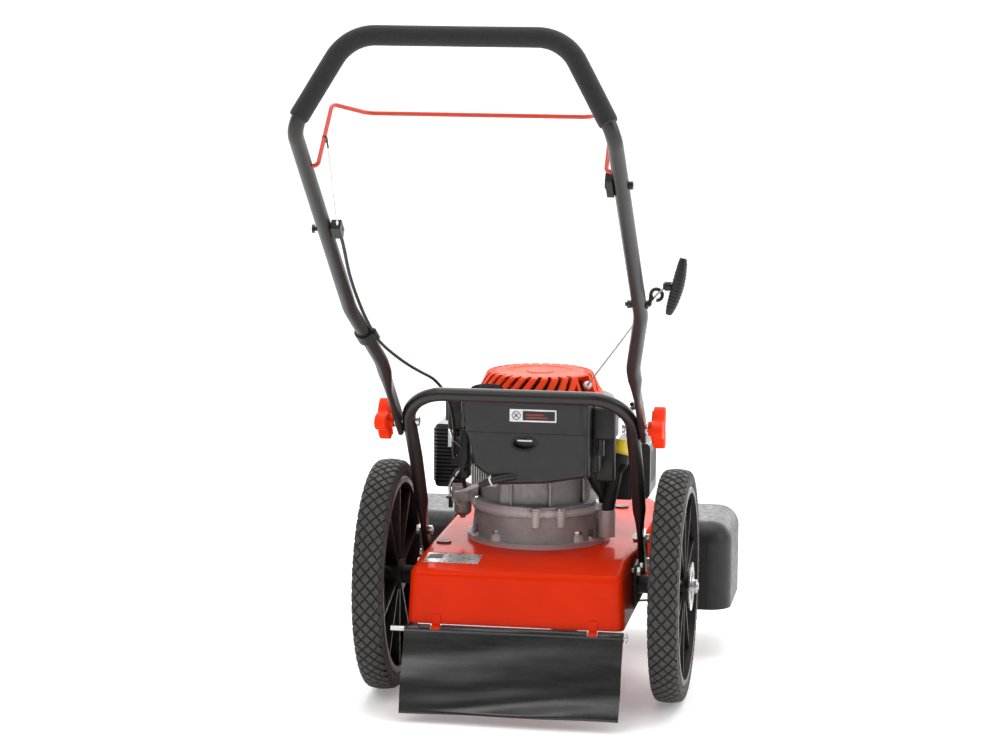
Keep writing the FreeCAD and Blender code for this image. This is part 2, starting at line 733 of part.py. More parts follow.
def make_cable_stop():
    """The bracket that ends the brake cable's outer casing."""
    block, at = saddle(-1, cable_stop_at, 24.0, 14.0, 15.0)
    hole = at - X * 40
    block = block.cut(cylinder(bracket_bolt / 2, hole, 80, X))
    run = cable_top()
    block = block.cut(cylinder(cable_diameter / 2, run - handle_up * 40, 80, handle_up))
    bolt = cylinder(bracket_bolt / 2, at - X * (tube_diameter + 4), tube_diameter + 4 + 5, X)
    head = cylinder(6.0, at - X * (tube_diameter + 6.5), 2.5, X)
    return [block, bolt.fuse(head)]


def cable_top():
    """Centre of the cable where it enters its stop."""
    return on_handle(cable_stop_at, -(leg_x(cable_stop_at) - tube_radius - 9.0))


def make_bail_stop():
    """The bracket on the right that the bail rests on."""
    block, at = saddle(1, bail_stop_at, 40.0, 9.0, 17.0)
    block = fillet_where(block, 5.0,
                         lambda e: abs(e.BoundBox.XLength - 9.0) < 1e-6 and e.BoundBox.YLength < 1e-6)
    block = block.cut(cylinder(bracket_bolt / 2, at - X * 40, 80, X))
    bolt = cylinder(bracket_bolt / 2, at - X * 9, tube_diameter + 9 + 4, X)
    nut = cylinder(5.5, at + X * tube_diameter, 5.0, X).cut(cylinder(bracket_bolt / 2, at, 40, X))
    head = cylinder(5.0, at - X * 11.0, 2.0, X)
    return [block, bolt.fuse(head), nut]


def make_cable_clip():
    """A plastic clip round the left leg that carries the cable."""
    centre = on_handle(clip_at, -leg_x(clip_at))
    way = neck_way(-1)
    half = 9.0
    band = cylinder(tube_radius + 3.5, centre - way * half, 2 * half, way)
    arm = clip_cable_point()
    saddle_block = cylinder(cable_diameter / 2 + 3.0, arm - way * half, 2 * half, way)
    clip = band.fuse(saddle_block)
    clip = clip.cut(cylinder(tube_radius, centre - way * 30, 60, way))
    return clip.cut(cylinder(cable_diameter / 2, arm - way * 30, 60, way))


def neck_way(side):
    low = on_handle(neck_start, side * flat_x)
    high = on_handle(neck_end, side * (handle_half_width - 1.0))
    return (high - low).normalize()


def clip_cable_point():
    centre = on_handle(clip_at, -leg_x(clip_at))
    return centre + X * (tube_radius + cable_diameter / 2 + 0.5)


def make_rope_guide():
    """A pigtail eye bolt through the right leg that holds the starter rope."""
    at = on_handle(rope_guide_at, leg_x(rope_guide_at))
    wire = guide_wire / 2
    eye = rope_eye()
    out = eye.x - eye_radius
    shank = cylinder(bracket_bolt / 2, at - X * (tube_radius + 9), out - at.x + tube_radius + 9, X)
    path_centre = V(eye.x, eye.y, eye.z)
    loop = Part.makeTorus(eye_radius, wire, path_centre, eye_way(), 0, 360, 330)
    joint = rod([V(out - 6, at.y, at.z), V(out - 1, at.y, at.z), eye - X * eye_radius], 1.0, wire)
    nut = ring(5.5, bracket_bolt / 2, at - X * (tube_radius + 6), 6, X)
    collar = ring(6.0, bracket_bolt / 2, at + X * tube_radius, 2.5, X)
    return [shank.fuse(loop).fuse(joint), nut, collar]


def rope_eye():
    at = on_handle(rope_guide_at, leg_x(rope_guide_at))
    return at + V(24.0, 0, 14.0)


def eye_way():
    return (rope_eye() - rope_outlet()).normalize()


def make_handle_bolts():
    """Carriage bolts through the frame and the handle's flattened ends."""
    inside = foot_x - tube_radius - 1.2
    end = flat_x + flat_thickness / 2 + 12.0
    shank = cylinder(bolt_diameter / 2, V(inside, pivot.y, pivot.z), end - inside, X)
    head = cylinder(7.5, V(inside - 4.0, pivot.y, pivot.z), 4.0, X)
    washer_x = flat_x + flat_thickness / 2
    return both_sides(shank.fuse(head)) + both_sides(
        ring(10.0, bolt_diameter / 2, V(washer_x, pivot.y, pivot.z), 1.5, X))


def make_knob(side):
    """A three-lobed clamping knob on the pivot bolt."""
    start = flat_x + flat_thickness / 2 + 3.0
    lobe = 12.0
    centre = V(start + 7, pivot.y, pivot.z)
    body = cylinder(15.0, centre, knob_thickness - 4, X)
    for i in range(3):
        angle = radians(60 + 120 * i)
        arm = V(0, cos(angle), sin(angle)) * (knob_radius - lobe)
        body = body.fuse(cylinder(lobe, centre + arm, knob_thickness - 7, X))
    body = body.fuse(cylinder(11.0, V(start, pivot.y, pivot.z), 8.0, X)).removeSplitter()
    bore = cylinder(bolt_diameter / 2 + running_gap, V(start - 1, pivot.y, pivot.z), 12.0, X)
    knob = body.cut(bore)
    return knob if side > 0 else mirrored(knob)


bail_corner = (handle_half_width - 19.5, 78.0, 76.0)   # half width, forward and up from its pivot
bail_kink = (handle_half_width - 57.0, 133.0, 61.0)


def make_bail():
    at = on_handle(bail_pivot_at)
    wire = bail_wire / 2
    step = handle_half_width - tube_radius - 7.0
    points = [V(handle_half_width + 2, at.y, at.z), V(step, at.y, at.z),
              V(bail_corner[0], at.y + bail_corner[1], at.z + bail_corner[2]),
              V(bail_kink[0], at.y + bail_kink[1], at.z + bail_kink[2])]
    points += [V(-p.x, p.y, p.z) for p in reversed(points)]
    return rod(points, [7.0, 14.0, 20.0, 20.0, 14.0, 7.0], wire)


# ------------------------------------------------------------------ cables and rope


def brake_anchor():
    """Where the cable ends at the engine's brake bracket."""
    return V(-128, engine_y - 27, case_top + 6)


def make_brake_cable():
    """The cable's outer casing, from its stop on the handle to the brake bracket."""
    top, clip = cable_top(), clip_cable_point()
    way = neck_way(-1)
    anchor = brake_anchor()
    over_bar = V(0, corner_point.y, corner_point.z)
    points = [top - handle_up * 4, top - handle_up * 40, top + V(-2.5, 78, -72),
              clip + way * 70 + V(1.5, 3, 2), clip + way * 22, clip - way * 22]
    points += [over_bar + V(*step) for step in cable_over_bar]
    points += [anchor + V(*step) for step in cable_to_anchor] + [anchor]
    return cord(points, cable_diameter / 2)


def make_brake_wire():
    """The bare inner wire from the cable stop up to the bail."""
    start = cable_top() + handle_up * 12.5
    hook = bail_hook()
    line = hook - start
    wire = cylinder(wire_diameter / 2, start, line.Length, line)
    return wire


def bail_hook():
    at = on_handle(bail_pivot_at)
    share = 0.42
    x = handle_half_width - tube_radius - 7.0
    along = V(-x, at.y, at.z) * (1 - share)
    along += V(-bail_corner[0], at.y + bail_corner[1], at.z + bail_corner[2]) * share
    return along + V(4.2, -0.5, 0.5)


def cord(points, radius):
    """A tube along chosen points, each arc as large as its two runs allow."""
    radii = []
    for before, corner, after in zip(points, points[1:], points[2:]):
        into, out = corner - before, after - corner
        half = into.getAngle(out) / 2
        radii.append(0.45 * min(into.Length, out.Length) / tan(half))
    print("  arcs", [round(r) for r in radii])
    return rod(points, radii, radius)


def rope_outlet():
    return polar(engine_axis, starter_radius - 7.6, -27.7, starter_top - 14)


def grip_centre():
    return rope_eye() + V(26.0, -4.0, 13.0)


def make_starter_rope():
    start, eye = rope_outlet(), rope_eye()
    line = eye - start
    main = cylinder(rope_diameter / 2, start, line.Length, line)
    tail_line = grip_centre() - X * 12.0 - eye
    knot = cylinder(rope_diameter / 2, eye, tail_line.Length, tail_line)
    return main.fuse(Part.makeSphere(rope_diameter / 2, eye)).fuse(knot)


def make_starter_grip():
    """The ribbed pull handle, hanging beside its guide with its bar nearly upright."""
    centre = grip_centre()
    way = V(sin(radians(grip_lean)), 0, cos(radians(grip_lean)))
    half = grip_length / 2
    low = oval_wire(centre - way * half, way, Y, 10.0, 7.0)
    middle = oval_wire(centre, way, Y, 12.5, 9.5)
    high = oval_wire(centre + way * half, way, Y, 10.0, 7.0)
    bar = Part.makeLoft([low, middle, high], True, False)
    boss_end = centre - X * 9.0
    boss = cylinder(6.5, boss_end, 10.0, X)
    return bar.fuse(boss).cut(cylinder(rope_diameter / 2, boss_end - X, 8.0, X))


# ------------------------------------------------------------------ engine
crank_bore = crank_diameter / 2 + running_gap
cylinder_end = engine_y + 172.0
cylinder_z = sump_top + 33.0
case_axis = engine_axis + X * crankcase_offset


def make_engine_sump():
    """The lower casting: mounting flange, oil sump and the lower crankshaft bearing."""
    r, lip = sump_radius, parting_lip
    z0, z1 = deck_top, sump_top
    inner = r - casting_wall - 4.0
    body = turned([(crank_bore, z0), (flange_radius, z0), (flange_radius, z0 + flange_thickness),
                   (r, z0 + flange_thickness), (r - 4, z1 - 7), (r - 4 + lip, z1 - 6), (r - 4 + lip, z1),
                   (inner, z1), (inner, z0 + 8), (22, z0 + 8), (22, z0 + 26), (crank_bore, z0 + 26)],
                  engine_axis)
    filler_foot = filler_base() - Z * (sump_height - flange_thickness - 2)
    body = body.fuse(cylinder(13.0, filler_foot, sump_height - 12))
    body = body.cut(cylinder(inner, engine_axis + Z * (z0 + 8), sump_height).cut(
        cylinder(22, engine_axis + Z * z0, sump_height)))
    for x in twin_boss_x:
        body = body.fuse(cylinder(7.0, boss_place(x) - Z * 20, 20))
    body = body.cut(cylinder(inner, engine_axis + Z * (z1 - 21), 22))
    for angle in engine_bolt_angles:
        at = polar(engine_axis, engine_bolt_circle, angle, z0 - 1)
        body = body.cut(cylinder(bolt_diameter / 2, at, flange_thickness + 2))
        body = body.cut(cylinder(bolt_diameter * 0.95, at + Z * (flange_thickness + 1), 16))
    return body.removeSplitter()


def boss_place(x):
    reach = sump_radius - 3.0
    return V(x, engine_y - sqrt(reach ** 2 - x ** 2), sump_top)


def filler_base():
    return V(111, engine_y - 33, sump_top)


def make_crankcase():
    """The upper casting that closes the crankcase and carries the cylinder."""
    lip_radius = sump_radius - 4 + parting_lip
    inner = sump_radius - casting_wall - 4.0
    r = crankcase_radius
    lower = ring(lip_radius, inner, engine_axis + Z * sump_top, 6.0)
    step = ring(lip_radius, r - casting_wall, case_axis + Z * (sump_top + 6.0), 4.0)
    step = step.common(cylinder(lip_radius, engine_axis + Z * sump_top, 20))
    body = ring(r, r - casting_wall, case_axis + Z * (sump_top + 6), crankcase_height - 6)
    roof = cylinder(r, case_axis + Z * (case_top - 7), 7.0)
    tower = cylinder(tower_radius, engine_axis + Z * (case_top - 7), blower_bottom - case_top + 7)
    case = lower.fuse(step).fuse(body).fuse(roof).fuse(tower)
    case = case.cut(cylinder(crank_bore, engine_axis + Z * (sump_top - 5), 200))
    for x in twin_boss_x:
        boss = cylinder(7.0, boss_place(x), 9.0)
        case = case.fuse(boss)
    case = case.cut(cylinder(inner, engine_axis + Z * (sump_top - 1), 7.0))
    window = cylinder(cylinder_bore, V(0, engine_y + 40, cylinder_z), 60, Y)
    return case.cut(window).removeSplitter()


def make_cylinder_block():
    """The finned barrel, lying forward of the crankcase."""
    start = engine_y + sqrt(crankcase_radius ** 2 - 36.0 ** 2) - 1.0
    end = cylinder_end
    barrel = cylinder(36.0, V(0, start, cylinder_z), end - start, Y)
    count = 8
    pitch = (end - start - 14.0) / count
    for i in range(count):
        y = start + 14.0 + pitch * i
        fin = box(-66, 66, y, y + 3.0, cylinder_z - 50, cylinder_z + 56)
        barrel = barrel.fuse(fin)
    barrel = barrel.cut(cylinder(crankcase_radius, case_axis + Z * sump_top, crankcase_height))
    barrel = barrel.cut(cylinder(cylinder_bore, V(0, start - 40, cylinder_z), 300, Y))
    clear = cylinder(sump_radius, engine_axis + Z * deck_top, sump_height + 10)
    return barrel.cut(clear).removeSplitter()


def make_cylinder_head():
    """Head casting with its rocker cover, closing the barrel."""
    y0 = cylinder_end
    head = box(-58, 58, y0, y0 + head_thickness, cylinder_z - 46, cylinder_z + 50)
    head = fillet_where(head, 8.0, lambda e: e.BoundBox.YLength > head_thickness - 1)
    cover = box(-40, 30, y0 + head_thickness, y0 + head_thickness + 20, cylinder_z - 34, cylinder_z + 36)
    cover = fillet_where(cover, 7.0, lambda e: e.BoundBox.YMax > y0 + head_thickness + 1)
    head = head.fuse(cover)
    seat = V(44, y0 + 10, cylinder_z + 30)
    return head.cut(cylinder(7.0, seat, 60, plug_way)).cut(cylinder(10.5, seat + plug_way * 25, 60, plug_way))


plug_way = V(0.35, 0.9, 0.25).normalize()


def make_spark_plug():
    """The spark plug with its boot, and the lead back to the coil."""
    seat = V(44, cylinder_end + 10, cylinder_z + 30)
    body = cylinder(7.0, seat, 26, plug_way)
    hexagon = hex_prism(17.0, seat + plug_way * 26, 8.0, plug_way)
    nose = cylinder(4.0, seat + plug_way * 34, 16, plug_way)
    boot = ring(8.5, 4.0, seat + plug_way * 36, 26, plug_way)
    tip = seat + plug_way * 58
    lead = cord([tip, tip + plug_way * 24, tip + V(44, 10, 30), tip + V(70, -20, 46),
                 tip + V(76, -70, 56), tip + V(66, -122, 62)], 3.5)
    return [body.fuse(hexagon).fuse(nose), boot.cut(lead), lead.cut(cylinder(4.0, seat, 52, plug_way))]


def make_carburetor():
    """Carburettor body, float bowl and drain bolt on the engine's left side."""
    x0 = crankcase_offset - crankcase_radius
    y0 = engine_y - 14.0
    z = sump_top + 2.0
    body = box(x0 - 40, x0 - 12, y0 - 16, y0 + 16, z, z + 22)
    body = fillet_where(body, 3.0, lambda e: e.BoundBox.ZLength > 20)
    throat = cylinder(12.0, V(x0 - 42, y0, z + 13), 30.0, X)
    flange = box(x0 - 12, x0 + 1.2, y0 - 18, y0 + 18, z + 0.5, z + 28)
    flange = flange.cut(cylinder(crankcase_radius, case_axis + Z * (z - 5), 60))
    flange = flange.cut(cylinder(sump_radius, engine_axis + Z * (z - 40), 40 + 8.1))
    bowl = turned([(0, z - 24), (9, z - 24), (13.5, z - 19), (13.5, z), (0, z)], V(x0 - 26, y0, 0))
    bolt = hex_prism(8.0, V(x0 - 26, y0, z - 29), 5.0, Z)
    duct = cylinder(10.0, V(x0 - 28, y0 + 14, z + 12), filter_rear - y0 - 14, Y)
    bowl = bowl.cut(cylinder(3.0, V(x0 - 26, y0, z - 30), 12))
    return [body.fuse(throat).fuse(duct), flange.cut(throat).cut(body), bowl,
            bolt.fuse(cylinder(3.0, V(x0 - 26, y0, z - 29), 11))]


filter_rear = engine_y + 20.0


def make_air_filter():
    """The ribbed plastic air-cleaner box on the left."""
    x1 = -126.0
    case = box(x1 - 44, x1, filter_rear, filter_rear + 96, sump_top + 14, sump_top + 114)
    case = fillet_where(case, 8.0, lambda e: e.BoundBox.YLength > 90 or e.BoundBox.ZLength > 90)
    duct = cylinder(10.0, V(crankcase_offset - crankcase_radius - 28, filter_rear, sump_top + 14), 12, Y)
    lid = box(x1 - 46, x1 - 40, filter_rear + 8, filter_rear + 88, sump_top + 22, sump_top + 106)
    return case.fuse(lid).cut(duct)


def make_muffler():
    """The steel silencer beside the cylinder, and the pipe that feeds it."""
    z = cylinder_z
    can = box(116, 158, engine_y + 52, engine_y + 140, z - 24, z + 50)
    can = fillet_where(can, 14.0, lambda e: e.BoundBox.YLength > 80)
    pipe = rod([V(58, cylinder_end + 16, z), V(112, cylinder_end + 16, z),
                V(137, engine_y + 139, z), V(137, engine_y + 120, z)], [22.0, 10.0], 9.0)
    return can.fuse(pipe)


def make_muffler_guard():
    """The black heat guard boxed round the silencer."""
    z = cylinder_z
    gap, wall = 4.0, 2.0
    outer = box(116 - gap - wall, 158 + gap + 3 * wall, engine_y + 52 - gap - wall, engine_y + 134,
                z - 32, z + 50 + gap + wall)
    outer = fillet_where(outer, 8.0, lambda e: e.BoundBox.YLength > 80)
    inner = box(116 - gap, 158 + gap + 2 * wall, engine_y + 52 - gap, engine_y + 140, z - 40, z + 50 + gap)
    guard = outer.cut(inner)
    for i in range(5):
        slot = box(150, 190, engine_y + 62 + 14 * i, engine_y + 68 + 14 * i, z - 10, z + 40)
        guard = guard.cut(slot)
    foot = box(116 - gap, 112 + 26, engine_y + 54, engine_y + 90, z - 36, z - 32)
    return [guard, foot.cut(guard)]


def make_blower_housing():
    """The pressed shroud round the flywheel, with a cowl over the cylinder."""
    r, wall = blower_radius, 2.5
    z0, z1 = blower_bottom, blower_top
    drum = cylinder(r, engine_axis + Z * z0, z1 - z0)
    cowl = box(-74, 74, engine_y, cylinder_end + 22, z0 - 24, z1 - 14)
    cowl = fillet_where(cowl, 12.0, lambda e: e.BoundBox.ZMin > z1 - 15 and e.BoundBox.YMax > engine_y + 20)
    side = box(-r - 24, -r + 20, engine_y - 58, engine_y + 20, z0 + 20, z1 - 2)
    side = fillet_where(side, 6.0, lambda e: e.BoundBox.ZLength > 20)
    body = drum.fuse(cowl).fuse(side)
    hollow = cylinder(r - wall, engine_axis + Z * (z0 + wall), z1 - z0 - 2 * wall)
    hollow = hollow.fuse(box(-74 + wall, 74 - wall, engine_y, cylinder_end + 22 - wall,
                             z0 - 25, z1 - 14 - wall))
    body = body.cut(hollow)
    body = body.cut(cylinder(starter_radius - 14, engine_axis + Z * (z1 - 10), 30))
    floor = ring(r - wall / 2, 30, engine_axis + Z * z0, wall)
    tower = cylinder(tower_radius, engine_axis + Z * (z0 - 60), 60)
    return body.fuse(floor).cut(tower).cut(cylinder(30, engine_axis + Z * z0, wall)).removeSplitter()


def make_starter_cover():
    """The slotted recoil-starter cover on top of the engine."""
    z0, z1 = blower_top, starter_top
    r, rt, wall = starter_radius, starter_top_radius, 2.5
    outer = [(0, z0), (r, z0), (r, z0 + 6), (r - 8, z1 - 14), (rt, z1 - 2), (rt - 6, z1), (0, z1)]
    inner = [(0, z0 - 1), (r - wall, z0 - 1), (r - wall, z0 + 6), (r - 8 - wall, z1 - 14 - wall / 2),
             (rt - wall, z1 - 2 - wall), (0, z1 - wall)]
    cover = turned(outer, engine_axis).cut(turned(inner, engine_axis))
    for i in range(slot_count):
        slot = box(-2.2, 2.2, -(r + 4), -(rt - 12), z1 - 12, z1 + 4)
        slot.rotate(V(0, -rt, z1), V(0, 0, 1), -slot_skew)
        slot.rotate(V(0, 0, 0), Z, 360.0 * i / slot_count + 4.0)
        cover = cover.cut(slot.translate(engine_axis))
    hub = cylinder(9.0, engine_axis + Z * (starter_top - 26), 26 - wall / 2)
    outlet = cylinder(7.0, rope_outlet() - eye_way() * 14, 18, eye_way())
    outlet = outlet.common(turned(outer, engine_axis))
    cover = cover.fuse(hub).fuse(outlet)
    rope_hole = cylinder(rope_diameter / 2, rope_outlet() - eye_way() * 20, 40, eye_way())
    return cover.cut(rope_hole).removeSplitter()


def make_recoil_reel():
    """The grooved reel that the starter rope winds on."""
    z = starter_top - 24
    profile = [(9 + running_gap, z), (36, z), (36, z + 2), (28, z + 4), (28, z + 8), (36, z + 10),
               (36, z + 12), (9 + running_gap, z + 12)]
    return turned(profile, engine_axis)


def make_fuel_tank():
    """The tank across the engine's rear, hollowed to clear the blower housing."""
    h, z1 = tank_half_width, blower_top + 16.0
    z0 = z1 - tank_height
    outline = [(-h, z1), (-h, z1 - 20), (-h + 14, z1 - 66), (-h + 21, z1 - 102), (-h + 60, z0),
               (30, z0 + 4), (h - 1, z0 + 16), (h - 1, z0 + 34), (h, z1 - 30), (h, z1)]
    points = [V(x, tank_rear, z) for x, z in outline]
    tank = polygon_face(points).extrude(Y * 84)
    tank = fillet_where(tank, 7.0, lambda e: e.BoundBox.YMax < tank_rear + 1e-3)
    upper = cylinder(blower_radius, engine_axis + Z * (blower_bottom - 14), 300)
    lower = cylinder(crankcase_radius + 4, case_axis + Z * (case_top - 60), 64)
    tower = cylinder(tower_radius + 2, engine_axis + Z * case_top, 60)
    left_box = box(-200, -blower_radius + 24, engine_y - 62, 400, blower_bottom, 900)
    tank = tank.cut(upper).cut(lower).cut(tower).cut(left_box)
    recess = oval_prism(V(-1, tank_rear - 1, z1 - 65), 17.0, 8.5, 15.0)
    neck = ring(19.0, 16.0, V(cap_place.x, cap_place.y, z1), 8.0)
    mouth = cylinder(16.0, V(cap_place.x, cap_place.y, z1 - 30), 40)
    return tank.cut(recess).fuse(neck).cut(mouth)


cap_place = V(-62, -40, 0)


def oval_prism(centre, half_wide, half_high, depth):
    curve = Part.Ellipse(centre, half_wide, half_high)
    curve.transform(rotation_about(centre, X, 90))
    return Part.Face(Part.Wire(curve.toShape())).extrude(Y * depth)


def rotation_about(centre, axis, angle):
    turn = FreeCAD.Placement(centre, FreeCAD.Rotation(axis, angle))
    return turn.multiply(FreeCAD.Placement(centre * -1, FreeCAD.Rotation())).toMatrix()


def make_fuel_cap():
    z = blower_top + 16.0
    r = cap_diameter / 2
    at = V(cap_place.x, cap_place.y, 0)
    profile = [(19.0 + free_gap, z + 0.4), (r - 1, z + 0.4), (r, z + 2), (r, z + 14), (r - 4, z + 17),
               (r - 8, z + 18), (0, z + 18), (0, z + 9), (19.0 + free_gap, z + 9)]
    cap = turned(profile, at)
    for i in range(18):
        groove = cylinder(1.6, V(r + 0.8, 0, z + 1), 14).rotate(V(0, 0, 0), Z, 20.0 * i)
        cap = cap.cut(groove.translate(at))
    return cap


def make_oil_filler():
    """The dipstick tube that rises from the sump."""
    foot = filler_base() - Z * 2
    top = oil_cap_base()
    way = (top - foot).normalize()
    tube = cylinder(11.0, foot, (top - foot).Length - 14, way)
    funnel = Part.makeCone(11.0, 17.0, 14.0, top - way * 30, way)
    head = cylinder(17.0, top - way * 16, 14.0, way)
    filler = tube.fuse(funnel).fuse(head)
    bore = cylinder(9.0, foot - way * 2, 200, way)
    return filler.cut(bore).cut(cylinder(20, foot - Z * 10, 10))


def oil_cap_base():
    return filler_base() + V(16, 20, 84)


def filler_way():
    return (oil_cap_base() - filler_base() + Z * 2).normalize()


def make_oil_cap():
    """The yellow dipstick cap, with its stick inside the tube."""
    way, at = filler_way(), oil_cap_base() - filler_way() * 2 + filler_way() * 0.4
    head = Part.makeCone(14.0, 11.0, 22.0, at, way)
    grip = cylinder(15.5, at, 4.0, way)
    stick = cylinder(2.0, at - way * 70, 70, way)
    seal = cylinder(8.6, at - way * 10, 10, way)
    return head.fuse(grip).fuse(stick).fuse(seal)


def make_control_bracket():
    """The bracket on the engine's left that anchors the brake cable, with the governor's parts."""
    anchor = brake_anchor()
    y = anchor.y
    plate = box(-134, -98, y - 1.5, y + 1.5, case_top - 8, case_top + 34)
    foot = box(-101, crankcase_offset - 60, y - 1.5, y + 24, case_top, case_top + 3)
    bracket = plate.fuse(foot).cut(cylinder(cable_diameter / 2 + 1.0, anchor - Y * 20, 40, Y))
    bracket = bracket.cut(cylinder(3.0 + running_gap, lever_pivot() - Y * 20, 40, Y))
    pin = cylinder(3.0, lever_pivot() - Y * 1.5, 12.0, Y)
    governor = rod([V(-110, y + 5, case_top + 2), V(-138, y + 5, case_top - 34),
                    V(-136, y + 5, case_top - 56)], 4.0, 1.5)
    lever = box(-143, -134.5, y + 3, y + 7, sump_top + 4, sump_top + 7)
    spring = ring(3.5, 2.2, V(-136, y + 5, sump_top - 10), 14)
    return [bracket.cut(pin), pin, governor, lever.cut(spring).cut(governor), spring]


def lever_pivot():
    return V(-112, brake_anchor().y, case_top + 24)


def make_brake_lever():
    """The engine-brake lever that the cable pulls."""
    pivot_at = lever_pivot()
    y = pivot_at.y + 1.5 + free_gap
    arm = box(pivot_at.x - 26, pivot_at.x + 5, y, y + 2.5, pivot_at.z - 5, pivot_at.z + 5)
    tail = box(pivot_at.x - 28, pivot_at.x - 18, y, y + 2.5, pivot_at.z - 5, pivot_at.z + 30)
    lever = arm.fuse(tail)
    return lever.cut(cylinder(3.0 + running_gap, pivot_at, 20, Y))


# ------------------------------------------------------------------ turning parts under the deck
spindle_top = belt_z + pulley_thickness / 2 + 6.0


def make_pulley(axis, pitch, bore):
    """A V-belt pulley: two flanges and a groove that clears the belt's flanks."""
    z0, z1 = belt_z - pulley_thickness / 2, belt_z + pulley_thickness / 2
    rim = pitch + 6.0
    floor = pitch - belt_width / 2 - free_gap
    half = belt_height / 2 + free_gap
    profile = [(bore, z0), (rim, z0), (rim, z0 + 1.5), (rim, belt_z - half), (floor, belt_z - half),
               (floor, belt_z + half), (rim, belt_z + half), (rim, z1), (bore, z1)]
    return turned(profile, axis)


def make_drive_belt():
    half = belt_width / 2
    outer = hull_face(engine_axis, drive_radius + half, spindle_axis, driven_radius + half)
    inner = hull_face(engine_axis, drive_radius - half, spindle_axis, driven_radius - half)
    belt = outer.extrude(Z * belt_height).cut(inner.extrude(Z * belt_height))
    return belt.translate(Z * (belt_z - belt_height / 2))


def make_crankshaft():
    """The vertical crankshaft with one throw, its webs and the stub for the pulley."""
    r = crank_diameter / 2
    lower = cylinder(r, engine_axis + Z * (belt_z - pulley_thickness / 2 - 4), sump_top + 4 - belt_z + 12)
    web_z = sump_top + 12.0
    shaft = lower.fuse(cylinder(26.0, engine_axis + Z * web_z, 10))
    throw = engine_axis + Y * 14.0
    shaft = shaft.fuse(cylinder(9.0, throw + Z * web_z, 32))
    shaft = shaft.fuse(cylinder(26.0, engine_axis + Z * (web_z + 24), 8))
    upper = cylinder(r, engine_axis + Z * (web_z + 24), blower_top - web_z - 36)
    shaft = shaft.fuse(upper).fuse(cylinder(r, engine_axis + Z * (sump_top - 10), 24))
    return shaft.removeSplitter()


def make_flywheel():
    r = blower_radius - 22.0
    z = blower_bottom + 12.0
    bore = crank_diameter / 2
    wheel = turned([(bore, z), (r, z), (r, z + 10), (30, z + 10), (30, z + 24), (bore, z + 24)], engine_axis)
    for i in range(12):
        fin = box(34, r - 4, -1.5, 1.5, z + 9, z + 24).rotate(V(0, 0, 0), Z, 30.0 * i)
        wheel = wheel.fuse(fin.translate(engine_axis))
    return wheel.removeSplitter()


def make_spindle_housing():
    """The bearing housing bolted under the cross plate."""
    z1 = cross_plate_z - cross_plate[1]
    z0 = cross_plate_z - housing_height
    bore = bearing_outer / 2
    flange = housing_bolt_circle / 2 + 11.0
    body = turned([(bore, z0), (housing_neck, z0), (housing_neck, z1 - 8), (flange, z1 - 8), (flange, z1),
                   (housing_neck, z1), (housing_neck, cross_plate_z + 2), (bore, cross_plate_z + 2),
                   (bore, cross_plate_z + 2 - bearing_width), (bore - 3, cross_plate_z + 2 - bearing_width),
                   (bore - 3, z0 + bearing_width), (bore, z0 + bearing_width)], spindle_axis)
    pieces = []
    for angle in housing_bolt_angles:
        at = polar(spindle_axis, housing_bolt_circle / 2, angle, z1 - 8)
        body = body.cut(cylinder(bolt_diameter / 2, at - Z, 12))
        pieces.append(hex_bolt(at, Z * -1, 8 + cross_plate[1] + 7))
        pieces.append(hex_nut(at + Z * (8 + cross_plate[1]), Z))
    return [body] + pieces


def make_spindle_bearings():
    low = cross_plate_z - housing_height
    high = cross_plate_z + 2 - bearing_width
    inner = spindle_diameter / 2 + running_gap
    return [ring(bearing_outer / 2, inner, spindle_axis + Z * z, bearing_width) for z in (low, high)]


def make_spindle():
    """The vertical shaft from the driven pulley down to the trimmer head."""
    r = spindle_diameter / 2
    shaft = cylinder(r, spindle_axis + Z * (hub_z - 12), spindle_top - hub_z + 12)
    collar = cylinder(13.0, spindle_axis + Z * (cross_plate_z - housing_height - 8 - free_gap), 8.0)
    nut = hex_prism(24.0, spindle_axis + Z * (belt_z + pulley_thickness / 2), 5.0, Z)
    return shaft.fuse(collar).fuse(nut)


def make_trimmer_hub():
    """The head that clamps the cutting lines."""
    r, z = hub_disc_radius, hub_z
    bore = spindle_diameter / 2
    hub = turned([(bore, z), (r, z), (r, z + 8), (r - 14, z + hub_thickness), (bore + 14, z + hub_thickness),
                  (bore + 14, z + hub_thickness + 10), (bore, z + hub_thickness + 10)], spindle_axis)
    for angle in line_angles:
        post = cylinder(7.0, polar(spindle_axis, r - 9, angle, z - 8), 16)
        hub = hub.fuse(post)
        way = V(cos(radians(angle)), sin(radians(angle)), 0)
        hub = hub.cut(cylinder(line_diameter / 2, polar(spindle_axis, r - 24, angle, z - 3.5), 40, way))
    return hub.removeSplitter()


def make_trimmer_lines():
    lines = []
    for angle in line_angles:
        way = V(cos(radians(angle)), sin(radians(angle)), 0)
        start = hub_disc_radius - 20
        at = polar(spindle_axis, start, angle, hub_z - 3.5)
        lines.append(cylinder(line_diameter / 2, at, line_reach - start, way))
    return lines


def make_glide_cap():
    """The domed foot under the head that the machine's front rests and slides on."""
    r, top = glide_radius, hub_z - 8.0
    shell = 4.0
    arc = []
    sag = top - 8.0
    bulge = (r ** 2 + sag ** 2) / (2 * sag)
    for i in range(7):
        x = r * (1 - i / 6.0)
        arc.append((x, bulge - sqrt(bulge ** 2 - x ** 2)))
    profile = [(spindle_diameter / 2 + 8, top), (r, top)] + arc
    profile += [(0, shell), (spindle_diameter / 2 + 8, shell + 1)]
    return turned(profile, spindle_axis)


